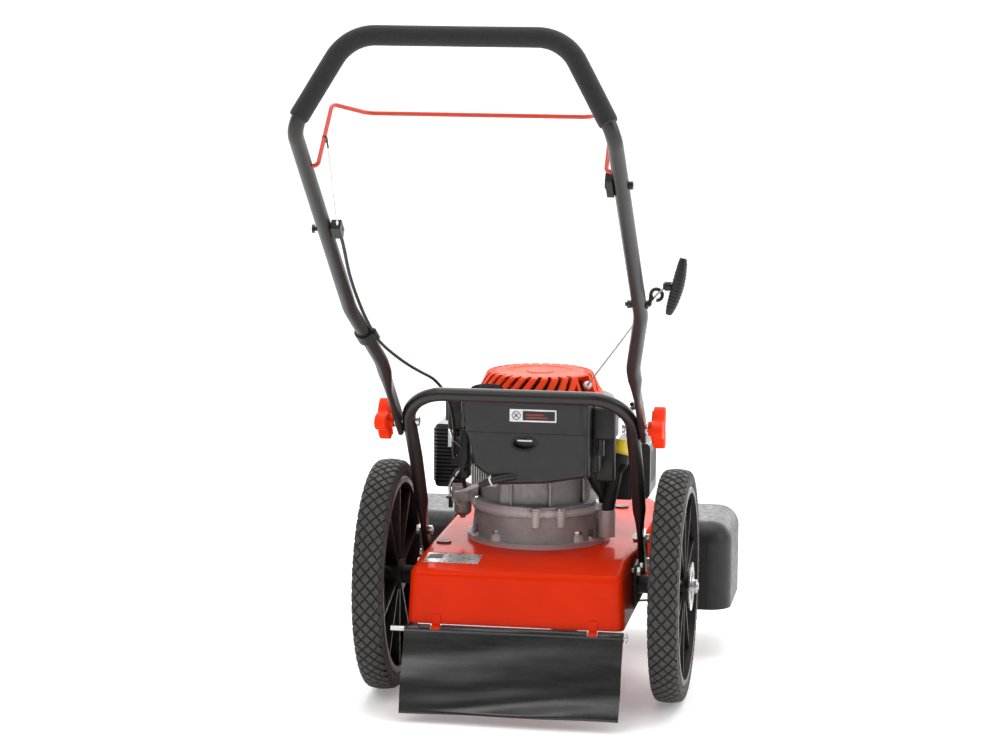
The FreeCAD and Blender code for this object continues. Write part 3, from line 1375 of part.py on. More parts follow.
# ------------------------------------------------------------------ build
def main():
    os.makedirs("parts", exist_ok=True)
    save("deck", make_deck())
    save("deck_plugs", *make_deck_plugs())
    save("lower_frame", make_lower_frame())
    save("frame_brackets", *make_frame_brackets())
    save("axle", *make_axle())
    save("axle_bearings", *make_axle_bearings())
    save("flap_rod", *make_flap_rod())
    save("chassis_bolts", *make_chassis_bolts())
    save("cross_plate", make_cross_plate())
    save("guards", *make_guards())
    save("flap", make_flap())
    for side, name in ((-1, "left"), (1, "right")):
        save("tyre_" + name, make_tyre(side * track / 2))
        save("rim_" + name, make_rim(side))
        save("bushes_" + name, *make_bushes(side))
        save("knob_" + name, make_knob(side))
    save("handle_tube", make_handle_tube())
    save("foam_grip", make_foam_grip())
    save("cable_stop", *make_cable_stop())
    save("cable_clip", make_cable_clip())
    save("bail_stop", *make_bail_stop())
    save("rope_guide", *make_rope_guide())
    save("handle_bolts", *make_handle_bolts())
    save("bail", make_bail())
    save("brake_cable", make_brake_cable())
    save("brake_wire", make_brake_wire())
    save("starter_rope", make_starter_rope())
    save("starter_grip", make_starter_grip())
    save("engine_sump", make_engine_sump())
    save("crankcase", make_crankcase())
    save("cylinder_block", make_cylinder_block())
    save("cylinder_head", make_cylinder_head())
    save("spark_plug", *make_spark_plug())
    save("carburetor", *make_carburetor())
    save("air_filter", make_air_filter())
    save("muffler", make_muffler())
    save("muffler_guard", *make_muffler_guard())
    save("blower_housing", make_blower_housing())
    save("starter_cover", make_starter_cover())
    save("recoil_reel", make_recoil_reel())
    save("fuel_tank", make_fuel_tank())
    save("fuel_cap", make_fuel_cap())
    save("oil_filler", make_oil_filler())
    save("oil_cap", make_oil_cap())
    save("control_bracket", *make_control_bracket())
    save("brake_lever", make_brake_lever())
    save("drive_belt", make_drive_belt())
    save("crankshaft", make_crankshaft())
    save("flywheel", make_flywheel())
    save("drive_pulley", make_pulley(engine_axis, drive_radius, crank_diameter / 2))
    save("driven_pulley", make_pulley(spindle_axis, driven_radius, spindle_diameter / 2))
    save("spindle_housing", *make_spindle_housing())
    save("spindle_bearings", *make_spindle_bearings())
    save("spindle", make_spindle())
    save("trimmer_hub", make_trimmer_hub())
    save("trimmer_lines", *make_trimmer_lines())
    save("glide_cap", make_glide_cap())


main()
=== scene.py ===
"""Looks of a walk-behind wheeled string trimmer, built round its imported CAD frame.

Shapes are written in millimetres in the row frame (X to the operator's right, Y forward, Z up) and
scaled to metres when a piece is made. Positions come from the CAD nodes' boxes and the joints.
"""
import bpy, bmesh, json
from math import atan2, cos, pi, radians, sin, sqrt
from mathutils import Matrix, Vector, noise


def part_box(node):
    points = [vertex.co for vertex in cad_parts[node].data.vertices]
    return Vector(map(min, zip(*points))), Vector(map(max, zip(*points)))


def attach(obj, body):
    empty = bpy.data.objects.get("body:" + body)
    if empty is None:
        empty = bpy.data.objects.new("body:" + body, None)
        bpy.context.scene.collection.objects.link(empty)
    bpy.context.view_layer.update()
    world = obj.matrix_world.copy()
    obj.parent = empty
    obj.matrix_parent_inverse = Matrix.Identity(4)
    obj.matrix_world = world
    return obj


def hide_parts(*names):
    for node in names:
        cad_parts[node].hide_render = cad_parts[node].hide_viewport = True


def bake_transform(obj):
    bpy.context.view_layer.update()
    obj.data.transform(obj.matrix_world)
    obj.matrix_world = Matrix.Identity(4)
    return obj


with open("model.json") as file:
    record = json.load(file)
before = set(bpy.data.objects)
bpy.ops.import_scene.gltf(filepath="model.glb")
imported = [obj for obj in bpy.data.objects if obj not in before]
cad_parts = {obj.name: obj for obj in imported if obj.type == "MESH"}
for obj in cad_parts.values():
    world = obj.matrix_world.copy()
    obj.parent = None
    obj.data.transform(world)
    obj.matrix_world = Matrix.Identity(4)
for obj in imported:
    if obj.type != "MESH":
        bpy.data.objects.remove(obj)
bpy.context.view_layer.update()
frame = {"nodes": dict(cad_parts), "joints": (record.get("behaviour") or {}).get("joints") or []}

V = Vector
MM = 0.001
X, Y = V((1, 0, 0)), V((0, 1, 0))
nodes = frame["nodes"]
joints = {j["name"]: j for j in frame["joints"]}


# ------------------------------------------------------------------ places read from the frame
def box_mm(name):
    low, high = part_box(name)
    return low / MM, high / MM


def mean(points):
    return sum(points, V((0, 0, 0))) / len(points)


def joint_mm(name):
    return V(joints[name]["pos_m"]) / MM


pivot = joint_mm("handle_fold")
bail_pivot = joint_mm("bail_swing")
handle_up = (bail_pivot - pivot).normalized()
engine_at = joint_mm("crank_spin")
flap_pin = joint_mm("flap_swing")


def on_handle(distance, x=0.0):
    return pivot + handle_up * distance + X * x


# ------------------------------------------------------------------ mesh helpers
class Shape:
    """Vertices and faces gathered into one piece, each face with a material number."""

    def __init__(self):
        self.verts, self.faces, self.mats = [], [], []

    def add(self, part, mat=0, move=None):
        verts, faces = part
        base = len(self.verts)
        self.verts += [move @ v for v in verts] if move else list(verts)
        self.faces += [[base + i for i in f] for f in faces]
        self.mats += [mat] * len(faces)
        return self


def facing(axis, at=V((0, 0, 0))):
    """A matrix that stands a shape made along Z up along axis, at a point."""
    axis = V(axis).normalized()
    return Matrix.Translation(at) @ axis.to_track_quat("Z", "Y").to_matrix().to_4x4()


def lathe(profile, steps=48):
    """Turn (radius, height) points about Z. A closed ring if its ends are off the axis."""
    verts, faces = [], []
    count = len(profile)
    for i in range(steps):
        a = 2 * pi * i / steps
        verts += [V((r * cos(a), r * sin(a), h)) for r, h in profile]
    solid = profile[0][0] < 1e-6 and profile[-1][0] < 1e-6
    rows = count - 1 if solid else count
    for i in range(steps):
        j = (i + 1) % steps
        for k in range(rows):
            n = (k + 1) % count
            faces.append([i * count + k, j * count + k, j * count + n, i * count + n])
    return verts, faces


def loft(rings, cap=True, closed=False):
    verts, faces = [], []
    for ring in rings:
        verts += ring
    n = len(rings[0])
    spans = len(rings) if closed else len(rings) - 1
    for i in range(spans):
        j = (i + 1) % len(rings)
        for k in range(n):
            m = (k + 1) % n
            faces.append([i * n + k, i * n + m, j * n + m, j * n + k])
    if cap and not closed:
        faces.append(list(reversed(range(n))))
        faces.append([(len(rings) - 1) * n + k for k in range(n)])
    return verts, faces


def frames(path):
    """A cross axis for each point of a path, carried along it without twisting."""
    ways = []
    for i in range(len(path)):
        a, b = path[max(i - 1, 0)], path[min(i + 1, len(path) - 1)]
        ways.append((b - a).normalized())
    side = ways[0].orthogonal().normalized()
    out = []
    for way in ways:
        side = (side - way * side.dot(way)).normalized()
        out.append((way, side, way.cross(side)))
    return out


def sweep(path, radius, sides=16, cap=True):
    """A tube along a path; radius is a number or a function of (share of path, angle)."""
    rings, total = [], len(path) - 1
    for i, (point, (_, u, v)) in enumerate(zip(path, frames(path))):
        ring = []
        for k in range(sides):
            a = 2 * pi * k / sides
            r = radius(i / total, a) if callable(radius) else radius
            ring.append(point + u * (r * cos(a)) + v * (r * sin(a)))
        rings.append(ring)
    return loft(rings, cap)


def rounded(points, radius, step=4.0):
    """Straight runs joined by arcs, as points about step apart."""
    radii = radius if isinstance(radius, list) else [radius] * (len(points) - 2)
    out = [points[0]]

    def run(to):
        start, length = out[-1], (to - out[-1]).length
        count = max(1, int(length / step))
        out.extend(start.lerp(to, (i + 1) / count) for i in range(count))
    for before, corner, after, r in zip(points, points[1:], points[2:], radii):
        into, away = (corner - before).normalized(), (after - corner).normalized()
        turn = into.angle(away)
        if turn < 1e-3:
            continue
        reach = r * sin(turn / 2) / cos(turn / 2)
        enter = corner - into * reach
        run(enter)
        centre = corner + (away - into).normalized() * (r / cos(turn / 2))
        axis = into.cross(away).normalized()
        count = max(2, int(r * turn / step))
        for i in range(count):
            spin = Matrix.Rotation(turn * (i + 1) / count, 3, axis)
            out.append(centre + spin @ (enter - centre))
    run(points[-1])
    return out


def curve_path(points, count=120):
    """A smooth line that passes near given points: a quadratic B-spline."""
    knots = [points[0]] + list(points) + [points[-1]]
    spans = len(knots) - 2
    out = []
    for i in range(count + 1):
        t = min(i / count * spans, spans - 1e-6)
        k, f = int(t), t - int(t)
        a, b, c = knots[k], knots[k + 1], knots[k + 2]
        out.append(a * ((1 - f) ** 2 / 2) + b * (0.5 + f * (1 - f)) + c * (f * f / 2))
    out[0], out[-1] = V(points[0]), V(points[-1])
    return out


def block(low, high, bevel=1.5, segments=3):
    """A box with rounded edges."""
    bm = bmesh.new()
    bmesh.ops.create_cube(bm, size=1.0)
    size, middle = V(high) - V(low), (V(high) + V(low)) / 2
    for v in bm.verts:
        v.co = V((v.co.x * size.x, v.co.y * size.y, v.co.z * size.z)) + middle
    return bevelled(bm, bevel, segments)


def bevelled(bm, bevel, segments, keep=lambda e: True):
    if bevel > 0:
        edges = [e for e in bm.edges if keep(e)]
        bmesh.ops.bevel(bm, geom=edges, offset=bevel, segments=segments, profile=0.5, affect="EDGES")
    bm.verts.index_update()
    part = [v.co.copy() for v in bm.verts], [[v.index for v in f.verts] for f in bm.faces]
    bm.free()
    return part


def slab(outline, depth, bevel=1.0, segments=3):
    """An outline of (x, y) points raised along Z, with rounded rims."""
    bm = bmesh.new()
    face = bm.faces.new([bm.verts.new((x, y, 0)) for x, y in outline])
    top = bmesh.ops.extrude_face_region(bm, geom=[face])["geom"]
    for v in [g for g in top if isinstance(g, bmesh.types.BMVert)]:
        v.co.z += depth
    bmesh.ops.recalc_face_normals(bm, faces=bm.faces)

    def rim(e):
        return abs(e.verts[0].co.z - e.verts[1].co.z) < 1e-6
    return bevelled(bm, bevel, segments, rim)


def hex_head(across, height, washer=0.0):
    """A chamfered hex head standing on Z 0, with a flange under it if asked."""
    r, rings = across / sqrt(3), []
    for radius, z in ((r, 0), (r, height - 0.8), (r - 0.9, height)):
        rings.append([V((radius * cos(k * pi / 3), radius * sin(k * pi / 3), z)) for k in range(6)])
    head = Shape().add(loft(rings))
    if washer:
        head.add(lathe([(0, -0.2), (washer, -0.2), (washer, 0.9), (washer - 0.5, 1.3), (0, 1.3)], 32))
    return head.verts, head.faces


def helix(start, end, radius, wire, turns, sides=6):
    way = (end - start).normalized()
    u = way.orthogonal().normalized()
    v = way.cross(u)
    count = int(turns * 16)
    path = []
    for i in range(count + 1):
        a = 2 * pi * turns * i / count
        path.append(start.lerp(end, i / count) + u * (radius * cos(a)) + v * (radius * sin(a)))
    return sweep(path, wire, sides)


def piece(name, shape, mats, body, replaces=(), sharp=32.0, subdivide=0):
    """One visible object from a Shape, in place, riding on its body."""
    mesh = bpy.data.meshes.new(name)
    mesh.from_pydata([v * MM for v in shape.verts], [], shape.faces)
    for m in mats if isinstance(mats, list) else [mats]:
        mesh.materials.append(m)
    mesh.polygons.foreach_set("material_index", shape.mats)
    bm = bmesh.new()
    bm.from_mesh(mesh)
    bmesh.ops.recalc_face_normals(bm, faces=bm.faces)
    bm.to_mesh(mesh)
    bm.free()
    mesh.shade_smooth()
    mesh.set_sharp_from_angle(angle=radians(sharp))
    obj = bpy.data.objects.new(name, mesh)
    bpy.context.scene.collection.objects.link(obj)
    if subdivide:
        obj.modifiers.new("smooth", "SUBSURF").render_levels = subdivide
        obj.modifiers["smooth"].levels = subdivide
    if body:
        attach(obj, body)
    if replaces:
        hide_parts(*replaces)
    return obj


# ------------------------------------------------------------------ materials
def new_material(name, colour, rough, metal=0.0, coat=0.0, coat_rough=0.05, specular=0.5):
    m = bpy.data.materials.new(name)
    m.use_nodes = True
    shader = m.node_tree.nodes["Principled BSDF"]
    shader.inputs["Base Color"].default_value = (*colour, 1)
    shader.inputs["Roughness"].default_value = rough
    shader.inputs["Metallic"].default_value = metal
    shader.inputs["Coat Weight"].default_value = coat
    shader.inputs["Coat Roughness"].default_value = coat_rough
    shader.inputs["Specular IOR Level"].default_value = specular
    m.diffuse_color = (*colour, 1)
    return m


def place(m):
    """Object coordinates, in metres, shared by the material's textures."""
    found = m.node_tree.nodes.get("Place")
    if not found:
        found = m.node_tree.nodes.new("ShaderNodeTexCoord")
        found.name = "Place"
    return found.outputs["Object"]


def noise_node(m, scale, detail=3.0, rough=0.55, stretch=None):
    tree = m.node_tree
    tex = tree.nodes.new("ShaderNodeTexNoise")
    tex.inputs["Scale"].default_value = scale
    tex.inputs["Detail"].default_value = detail
    tex.inputs["Roughness"].default_value = rough
    source = place(m)
    if stretch:
        mapping = tree.nodes.new("ShaderNodeMapping")
        mapping.inputs["Scale"].default_value = stretch
        tree.links.new(source, mapping.inputs["Vector"])
        source = mapping.outputs["Vector"]
    tree.links.new(source, tex.inputs["Vector"])
    return tex.outputs["Fac"]


def ramp(m, source, low, high, at=(0.35, 0.65)):
    """Spread a 0 to 1 value between two colours or two numbers."""
    node = m.node_tree.nodes.new("ShaderNodeValToRGB")
    for stop, value, where in zip(node.color_ramp.elements, (low, high), at):
        stop.position = where
        stop.color = (*value, 1) if isinstance(value, tuple) else (value, value, value, 1)
    m.node_tree.links.new(source, node.inputs["Fac"])
    return node.outputs["Color"]


def feed(m, socket, source):
    m.node_tree.links.new(source, m.node_tree.nodes["Principled BSDF"].inputs[socket])
    return m


def bump(m, source, distance, strength=1.0):
    """Add a height in millimetres, on top of any bump already there."""
    tree = m.node_tree
    node = tree.nodes.new("ShaderNodeBump")
    node.inputs["Distance"].default_value = distance * MM
    node.inputs["Strength"].default_value = strength
    tree.links.new(source, node.inputs["Height"])
    normal = tree.nodes["Principled BSDF"].inputs["Normal"]
    if normal.links:
        tree.links.new(normal.links[0].from_socket, node.inputs["Normal"])
    tree.links.new(node.outputs["Normal"], normal)
    return m


def worn_edges(m, source, bright, amount=(0.52, 0.62)):
    """Lighten the colour where the surface turns sharply outward."""
    tree = m.node_tree
    geometry = tree.nodes.new("ShaderNodeNewGeometry")
    edge = ramp(m, geometry.outputs["Pointiness"], 0.0, 1.0, amount)
    mix = tree.nodes.new("ShaderNodeMix")
    mix.data_type = "RGBA"
    tree.links.new(edge, mix.inputs["Factor"])
    tree.links.new(source, mix.inputs["A"])
    mix.inputs["B"].default_value = (*bright, 1)
    return feed(m, "Base Color", mix.outputs["Result"])


def shade(colour, factor):
    return tuple(min(1.0, c * factor) for c in colour)


def paint(name, colour, rough=0.32, coat=0.6, peel=0.02, specular=0.3):
    m = new_material(name, colour, rough, coat=coat, coat_rough=0.06, specular=specular)
    feed(m, "Base Color", ramp(m, noise_node(m, 14, 4), shade(colour, 0.95), shade(colour, 1.03)))
    feed(m, "Roughness", ramp(m, noise_node(m, 9, 2), rough * 0.9, rough * 1.15))
    bump(m, noise_node(m, 260, 1), peel)
    return m


def plastic(name, colour, rough=0.45, grain=0.03, scale=1500, specular=0.5):
    m = new_material(name, colour, rough, specular=specular)
    feed(m, "Base Color", ramp(m, noise_node(m, 30, 4), shade(colour, 0.85), shade(colour, 1.15)))
    feed(m, "Roughness", ramp(m, noise_node(m, 90, 5), rough * 0.85, rough * 1.2))
    bump(m, noise_node(m, scale, 2), grain)
    return m


def metal(name, colour, rough=0.35, grain=0.02, scale=900, stretch=None, metallic=1.0):
    m = new_material(name, colour, rough, metal=metallic)
    feed(m, "Base Color", ramp(m, noise_node(m, 40, 5), shade(colour, 0.82), shade(colour, 1.12)))
    feed(m, "Roughness", ramp(m, noise_node(m, 160, 5, stretch=stretch), rough * 0.75, rough * 1.4))
    bump(m, noise_node(m, scale, 3, stretch=stretch), grain)
    return m


def cast(name, colour, rough=0.5):
    m = new_material(name, colour, rough, metal=0.35)
    tone = ramp(m, noise_node(m, 22, 6), shade(colour, 0.78), shade(colour, 1.15), (0.3, 0.7))
    worn_edges(m, tone, shade(colour, 1.7))
    feed(m, "Roughness", ramp(m, noise_node(m, 120, 6), rough * 0.8, rough * 1.3))
    bump(m, noise_node(m, 700, 4, 0.7), 0.12)
    bump(m, noise_node(m, 2600, 2), 0.05)
    return m


deck_orange = (0.70, 0.024, 0.0004)
M = {
    "deck_paint": paint("deck_paint", deck_orange, 0.42, 0.14, 0.004, 0.02),
    "cover_orange": paint("cover_orange", (0.80, 0.055, 0.008), 0.55, 0.05, 0.02, 0.12),
    "knob_red": plastic("knob_red", (0.90, 0.036, 0.005), 0.5, 0.03, 900, 0.1),
    "bail_red": paint("bail_red", (0.58, 0.035, 0.008), 0.3, 0.5, 0.01, 0.3),
    "black_tube": paint("black_tube", (0.014, 0.012, 0.0115), 0.38, 0.15, 0.03, 0.4),
    "black_steel": paint("black_steel", (0.012, 0.012, 0.012), 0.45, 0.1, 0.04, 0.35),
    "black_plastic": plastic("black_plastic", (0.014, 0.014, 0.014), 0.42, 0.05, 1300, 0.35),
    "cap_plastic": plastic("cap_plastic", (0.006, 0.006, 0.006), 0.85, 0.05, 1300, 0.04),
    "tank_plastic": plastic("tank_plastic", (0.018, 0.018, 0.019), 0.34, 0.04, 1100, 0.45),
    "rim_plastic": plastic("rim_plastic", (0.019, 0.014, 0.012), 0.38, 0.05, 800),
    "yellow_plastic": plastic("yellow_plastic", (0.78, 0.56, 0.02), 0.36, 0.03, 900),
    "cast_aluminium": cast("cast_aluminium", (0.36, 0.35, 0.345), 0.55),
    "cast_dark": cast("cast_dark", (0.24, 0.225, 0.215), 0.6),
    "zinc": metal("zinc", (0.66, 0.66, 0.64), 0.28, 0.015, 1200),
    "bright_steel": metal("bright_steel", (0.74, 0.74, 0.74), 0.18, 0.008, 900, (1, 1, 12)),
    "bare_steel": metal("bare_steel", (0.42, 0.42, 0.42), 0.35, 0.03, 700, (1, 1, 8)),
    "brass": metal("brass", (0.62, 0.45, 0.22), 0.3),
    "sheath": plastic("sheath", (0.012, 0.012, 0.012), 0.4, 0.03, 2500),
    "belt": plastic("belt", (0.011, 0.011, 0.011), 0.75, 0.1, 900),
    "line_nylon": plastic("line_nylon", (0.10, 0.10, 0.09), 0.35, 0.03, 1500),
    "ceramic": plastic("ceramic", (0.7, 0.7, 0.68), 0.18, 0.01, 600),
    "label_white": plastic("label_white", (0.8, 0.8, 0.8), 0.4, 0.01, 600),
    "label_dark": plastic("label_dark", (0.012, 0.012, 0.012), 0.4, 0.01, 600),
    "label_red": plastic("label_red", (0.30, 0.035, 0.02), 0.45, 0.01, 600),
    # This dark reddish colour is painted shade for the starter cover's slots, rope pocket and underside,
    # where those recesses fall into shadow.
    "slot_painted_shade": plastic("slot_painted_shade", (0.05, 0.006, 0.003), 0.7, 0.02, 900, 0.1),
}


def rubber_material():
    m = new_material("tyre_rubber", (0.022, 0.021, 0.020), 0.72, specular=0.4)
    tone = ramp(m, noise_node(m, 26, 6), (0.016, 0.0155, 0.015), (0.032, 0.030, 0.028))
    worn_edges(m, tone, (0.055, 0.052, 0.048), (0.51, 0.60))
    feed(m, "Roughness", ramp(m, noise_node(m, 70, 5), 0.6, 0.85))
    bump(m, noise_node(m, 900, 4, 0.7), 0.15)
    return m


def foam_material():
    m = new_material("foam", (0.016, 0.016, 0.016), 0.88, specular=0.3)
    tree = m.node_tree
    cells = tree.nodes.new("ShaderNodeTexVoronoi")
    cells.inputs["Scale"].default_value = 900
    tree.links.new(place(m), cells.inputs["Vector"])
    dark, light = (0.010, 0.010, 0.010), (0.026, 0.026, 0.026)
    feed(m, "Base Color", ramp(m, cells.outputs["Distance"], dark, light, (0.1, 0.6)))
    bump(m, cells.outputs["Distance"], 0.35)
    bump(m, noise_node(m, 120, 4), 0.5)
    shader = tree.nodes["Principled BSDF"]
    shader.inputs["Sheen Weight"].default_value = 0.15
    return m


def flap_material():
    m = new_material("flap_rubber", (0.012, 0.012, 0.0115), 0.24, coat=0.3, coat_rough=0.2)
    feed(m, "Base Color", ramp(m, noise_node(m, 18, 5), (0.009, 0.009, 0.0085), (0.017, 0.0165, 0.016)))
    feed(m, "Roughness", ramp(m, noise_node(m, 24, 6, stretch=(0.4, 1, 5)), 0.18, 0.36))
    bump(m, noise_node(m, 500, 3, stretch=(1, 1, 3)), 0.05)
    return m


def rope_material():
    m = new_material("rope", (0.5, 0.48, 0.43), 0.8)
    feed(m, "Base Color", ramp(m, noise_node(m, 700, 3), (0.30, 0.28, 0.25), (0.62, 0.60, 0.55)))
    bump(m, noise_node(m, 1800, 3), 0.2)
    return m


M["tyre_rubber"] = rubber_material()
M["foam"] = foam_material()
M["flap_rubber"] = flap_material()
M["rope"] = rope_material()

finishes = {
    "deck_paint": "deck",
    "cover_orange": "starter_cover",
    "black_tube": "lower_frame handle_tube",
    "black_steel": "control_bracket axle_bearings cross_plate blower_housing muffler_guard drive_pulley "
                   "driven_pulley cable_stop",
    "black_plastic": "deck_plugs guards cable_clip recoil_reel oil_filler trimmer_hub glide_cap bail_stop",
    "cap_plastic": "fuel_cap",
    "rim_plastic": "rim_left rim_right",
    "zinc": "frame_brackets axle flap_rod chassis_bolts handle_bolts brake_lever brake_wire",
    "bright_steel": "bushes_left bushes_right spindle_bearings",
    "bare_steel": "crankshaft spindle muffler",
    "cast_aluminium": "engine_sump crankcase spindle_housing cylinder_head",
    "cast_dark": "cylinder_block flywheel carburetor",
    "tank_plastic": "fuel_tank air_filter",
    "bail_red": "bail",
    "belt": "drive_belt",
    "line_nylon": "trimmer_lines",
    "knob_red": "knob_left knob_right",
    "tyre_rubber": "tyre_left tyre_right",
    "foam": "foam_grip",
    "flap_rubber": "flap",
    "yellow_plastic": "oil_cap",
    "sheath": "brake_cable spark_plug rope_guide",
    "rope": "starter_rope",
    "ceramic": "starter_grip",
}
for finish, names in finishes.items():
    for name in names.split():
        data = nodes[name].data
        data.materials.clear()
        data.materials.append(M[finish])


# ------------------------------------------------------------------ tyres
tread_depth = 3.2
lug_pitch = 19.5                # round the tread
lug_rows = 3                    # each side of the middle row
lug_row_step = 8.6


def tyre_profile(s, radius, half):
    """Radius and offset of the tyre's skin at arc length s from the tread's middle."""
    crown, corner = half - 8.5, 9.0
    side = 1 if s >= 0 else -1
    s = abs(s)
    if s <= crown:
        return radius - 1.6 * (s / crown) ** 2, side * s
    bend = (s - crown) / corner
    if bend <= pi / 2:
        return radius - 1.6 - corner * (1 - cos(bend)), side * (crown + corner * sin(bend) * 8.5 / 9.0)
    return radius - 1.6 - corner - (s - crown - corner * pi / 2), side * half


def make_tyre(side, name):
    low, high = box_mm("tyre_" + name)
    radius, half = (high.z - low.z) / 2, (high.x - low.x) / 2
    centre = (low + high) / 2
    seat = box_mm("rim_" + name)
    rim_radius = (seat[1].z - seat[0].z) / 2 - 1.0
    reach = half - 8.5 + 9.0 * pi / 2

    def skin(theta, s, depth):
        a, xa = tyre_profile(s, radius, half)
        b, xb = tyre_profile(s + 0.5, radius, half)
        nr, nx = (xb - xa), -(b - a)
        size = sqrt(nr * nr + nx * nx)
        r, x = a - depth * nr / size, xa - depth * nx / size
        return centre + V((x, r * cos(theta), r * sin(theta)))
    shape = Shape()
    stations = [-reach - 10 + i * (2 * reach + 20) / 36 for i in range(37)]
    steps = 180
    profile = []
    for s in stations:
        flat = abs(s) > reach - 3
        under, inward = (0.6, 0.8) if flat else (tread_depth, tread_depth * 0.8)
        r, x = tyre_profile(s, radius - under, half - inward)
        profile.append((r, x))
    last = profile[-1][0]
    for k, drop in enumerate((2.0, 3.0, 6.0)):
        profile.append((last - drop, half - 0.8 - (0.8, 0.3, 2.0)[k]))
        profile.insert(0, (last - drop, -half + 0.8 + (0.8, 0.3, 2.0)[k]))
    profile.append((rim_radius, half - 6.0))
    profile.insert(0, (rim_radius, -half + 6.0))
    shape.add(lathe(profile, steps), 0, facing(X, centre))
    count = int(round(2 * pi * radius / lug_pitch))
    for row in range(-lug_rows, lug_rows + 1):
        s = row * lug_row_step
        outer = abs(row) == lug_rows
        for i in range(count):
            theta = 2 * pi * (i + (0.5 if row % 2 else 0.0)) / count
            ring_low, ring_high = [], []
            along, across = lug_pitch * 0.46 / radius, lug_row_step * 0.90
            grow = 1.75 if outer else 1.0
            sign = 1 if row > 0 else -1
            corners = [(along, 0), (0, across), (-along, 0), (0, -across)]
            if outer:
                wide = sign * across * grow
                corners = [(along, 0), (along * 0.75, wide), (-along * 0.75, wide),
                           (-along, 0), (0, -sign * across)]
                corners = corners if sign > 0 else corners[::-1]
            for da, ds in corners:
                ring_low.append(skin(theta + da, s + ds, tread_depth + 0.4))
                ring_high.append(skin(theta + da * 0.86, s + ds * 0.86, 0.25))
            middle = [a.lerp(b, 0.82) for a, b in zip(ring_low, ring_high)]
            top = [skin(theta + da * 0.72, s + ds * 0.72, 0.0) for da, ds in corners]
            shape.add(loft([ring_low, middle, top]))
    for rise in (4.0, 9.5):
        for x in (-half + 0.9, half - 0.9):
            ring = [(rim_radius + rise + 0.8 * cos(2 * pi * k / 8), x + 0.8 * sin(2 * pi * k / 8))
                    for k in range(8)]
            shape.add(lathe(ring, 120), 0, facing(X, centre))
    piece("tyre_tread_" + name, shape, M["tyre_rubber"], "wheel_" + name, ["tyre_" + name], 28)


for side, name in ((-1, "left"), (1, "right")):
    make_tyre(side, name)


# ------------------------------------------------------------------ handle: foam, knobs, pull grip
foam_start = 13.0               # from the bend


def make_foam():
    _, high = box_mm("foam_grip")
    radius = 13.5
    top_z = high.z - radius
    corner = V((140.0, 0, 0))
    top_y = centre_on_top()
    bend = on_handle(756.0, 207.0)
    top = V((corner.x, top_y, top_z))
    way = (top - bend).normalized()
    start = bend + way * foam_start
    points = [start, top, V((-top.x, top.y, top.z)), V((-start.x, start.y, start.z))]
    path = rounded(points, 60.0, 2.5)
    total = len(path) - 1

    def size(t, a):
        end = min(t, 1 - t) * total * 2.5
        swell = 1.0 - 0.10 * max(0.0, 1 - end / 4.0) ** 2
        p = path[min(int(t * total), total)]
        lump = noise.noise(p * 0.02 + V((cos(a), sin(a), 0)) * 0.3) * 0.22
        return (radius - 0.3) * swell + lump
    shape = Shape().add(sweep(path, size, 32))
    piece("foam_sleeve", shape, M["foam"], "upper_handle", ["foam_grip"], 50)


def centre_on_top():
    """Y of the handle's top bar, from the tube's highest vertices."""
    data = nodes["handle_tube"].data
    top = max(v.co.z for v in data.vertices)
    ys = [v.co.y for v in data.vertices if v.co.z > top - 0.0005]
    return (min(ys) + max(ys)) / 2 / MM


def make_knob(side, name):
    """A three-lobed clamping knob with a hollowed face and stiffening ribs."""
    low, high = box_mm("knob_" + name)
    depth = high.x - low.x
    at = V(((low.x if side > 0 else high.x), pivot.y, pivot.z))
    outline = []
    for i in range(72):
        a = 2 * pi * i / 72
        reach = 24.2 + (10.3 if cos(3 * a) < 0 else 7.5) * -cos(3 * a)
        outline.append((reach * cos(a), reach * sin(a)))
    shape = Shape()
    thick = depth - 7.5
    basis = Matrix.Translation(at) @ Matrix(((0, 0, side, 0), (1, 0, 0, 0), (0, 1, 0, 0), (0, 0, 0, 1)))
    shape.add(slab(outline, thick, 2.6, 4), 0, basis @ Matrix.Translation((0, 0, 7.0)))
    shape.add(lathe([(0, 0.4), (10.6, 0.4), (10.6, 7.5), (0, 7.5)], 32), 0, basis)
    button = [(0, thick + 6.8), (8.0, thick + 6.8), (8.0, thick + 7.2), (6.4, thick + 7.5), (0, thick + 7.5)]
    shape.add(lathe(button, 32), 0, basis)
    for i in range(3):
        a = pi / 3 + 2 * pi * i / 3
        rib = block((9.5, -1.2, 4.2), (28.0, 1.2, 7.4), 0.5, 2)
        shape.add(rib, 0, basis @ Matrix.Rotation(a, 4, "Z"))
    piece("clamp_knob_" + name, shape, M["knob_red"], "knob_" + name, ["knob_" + name], 40)


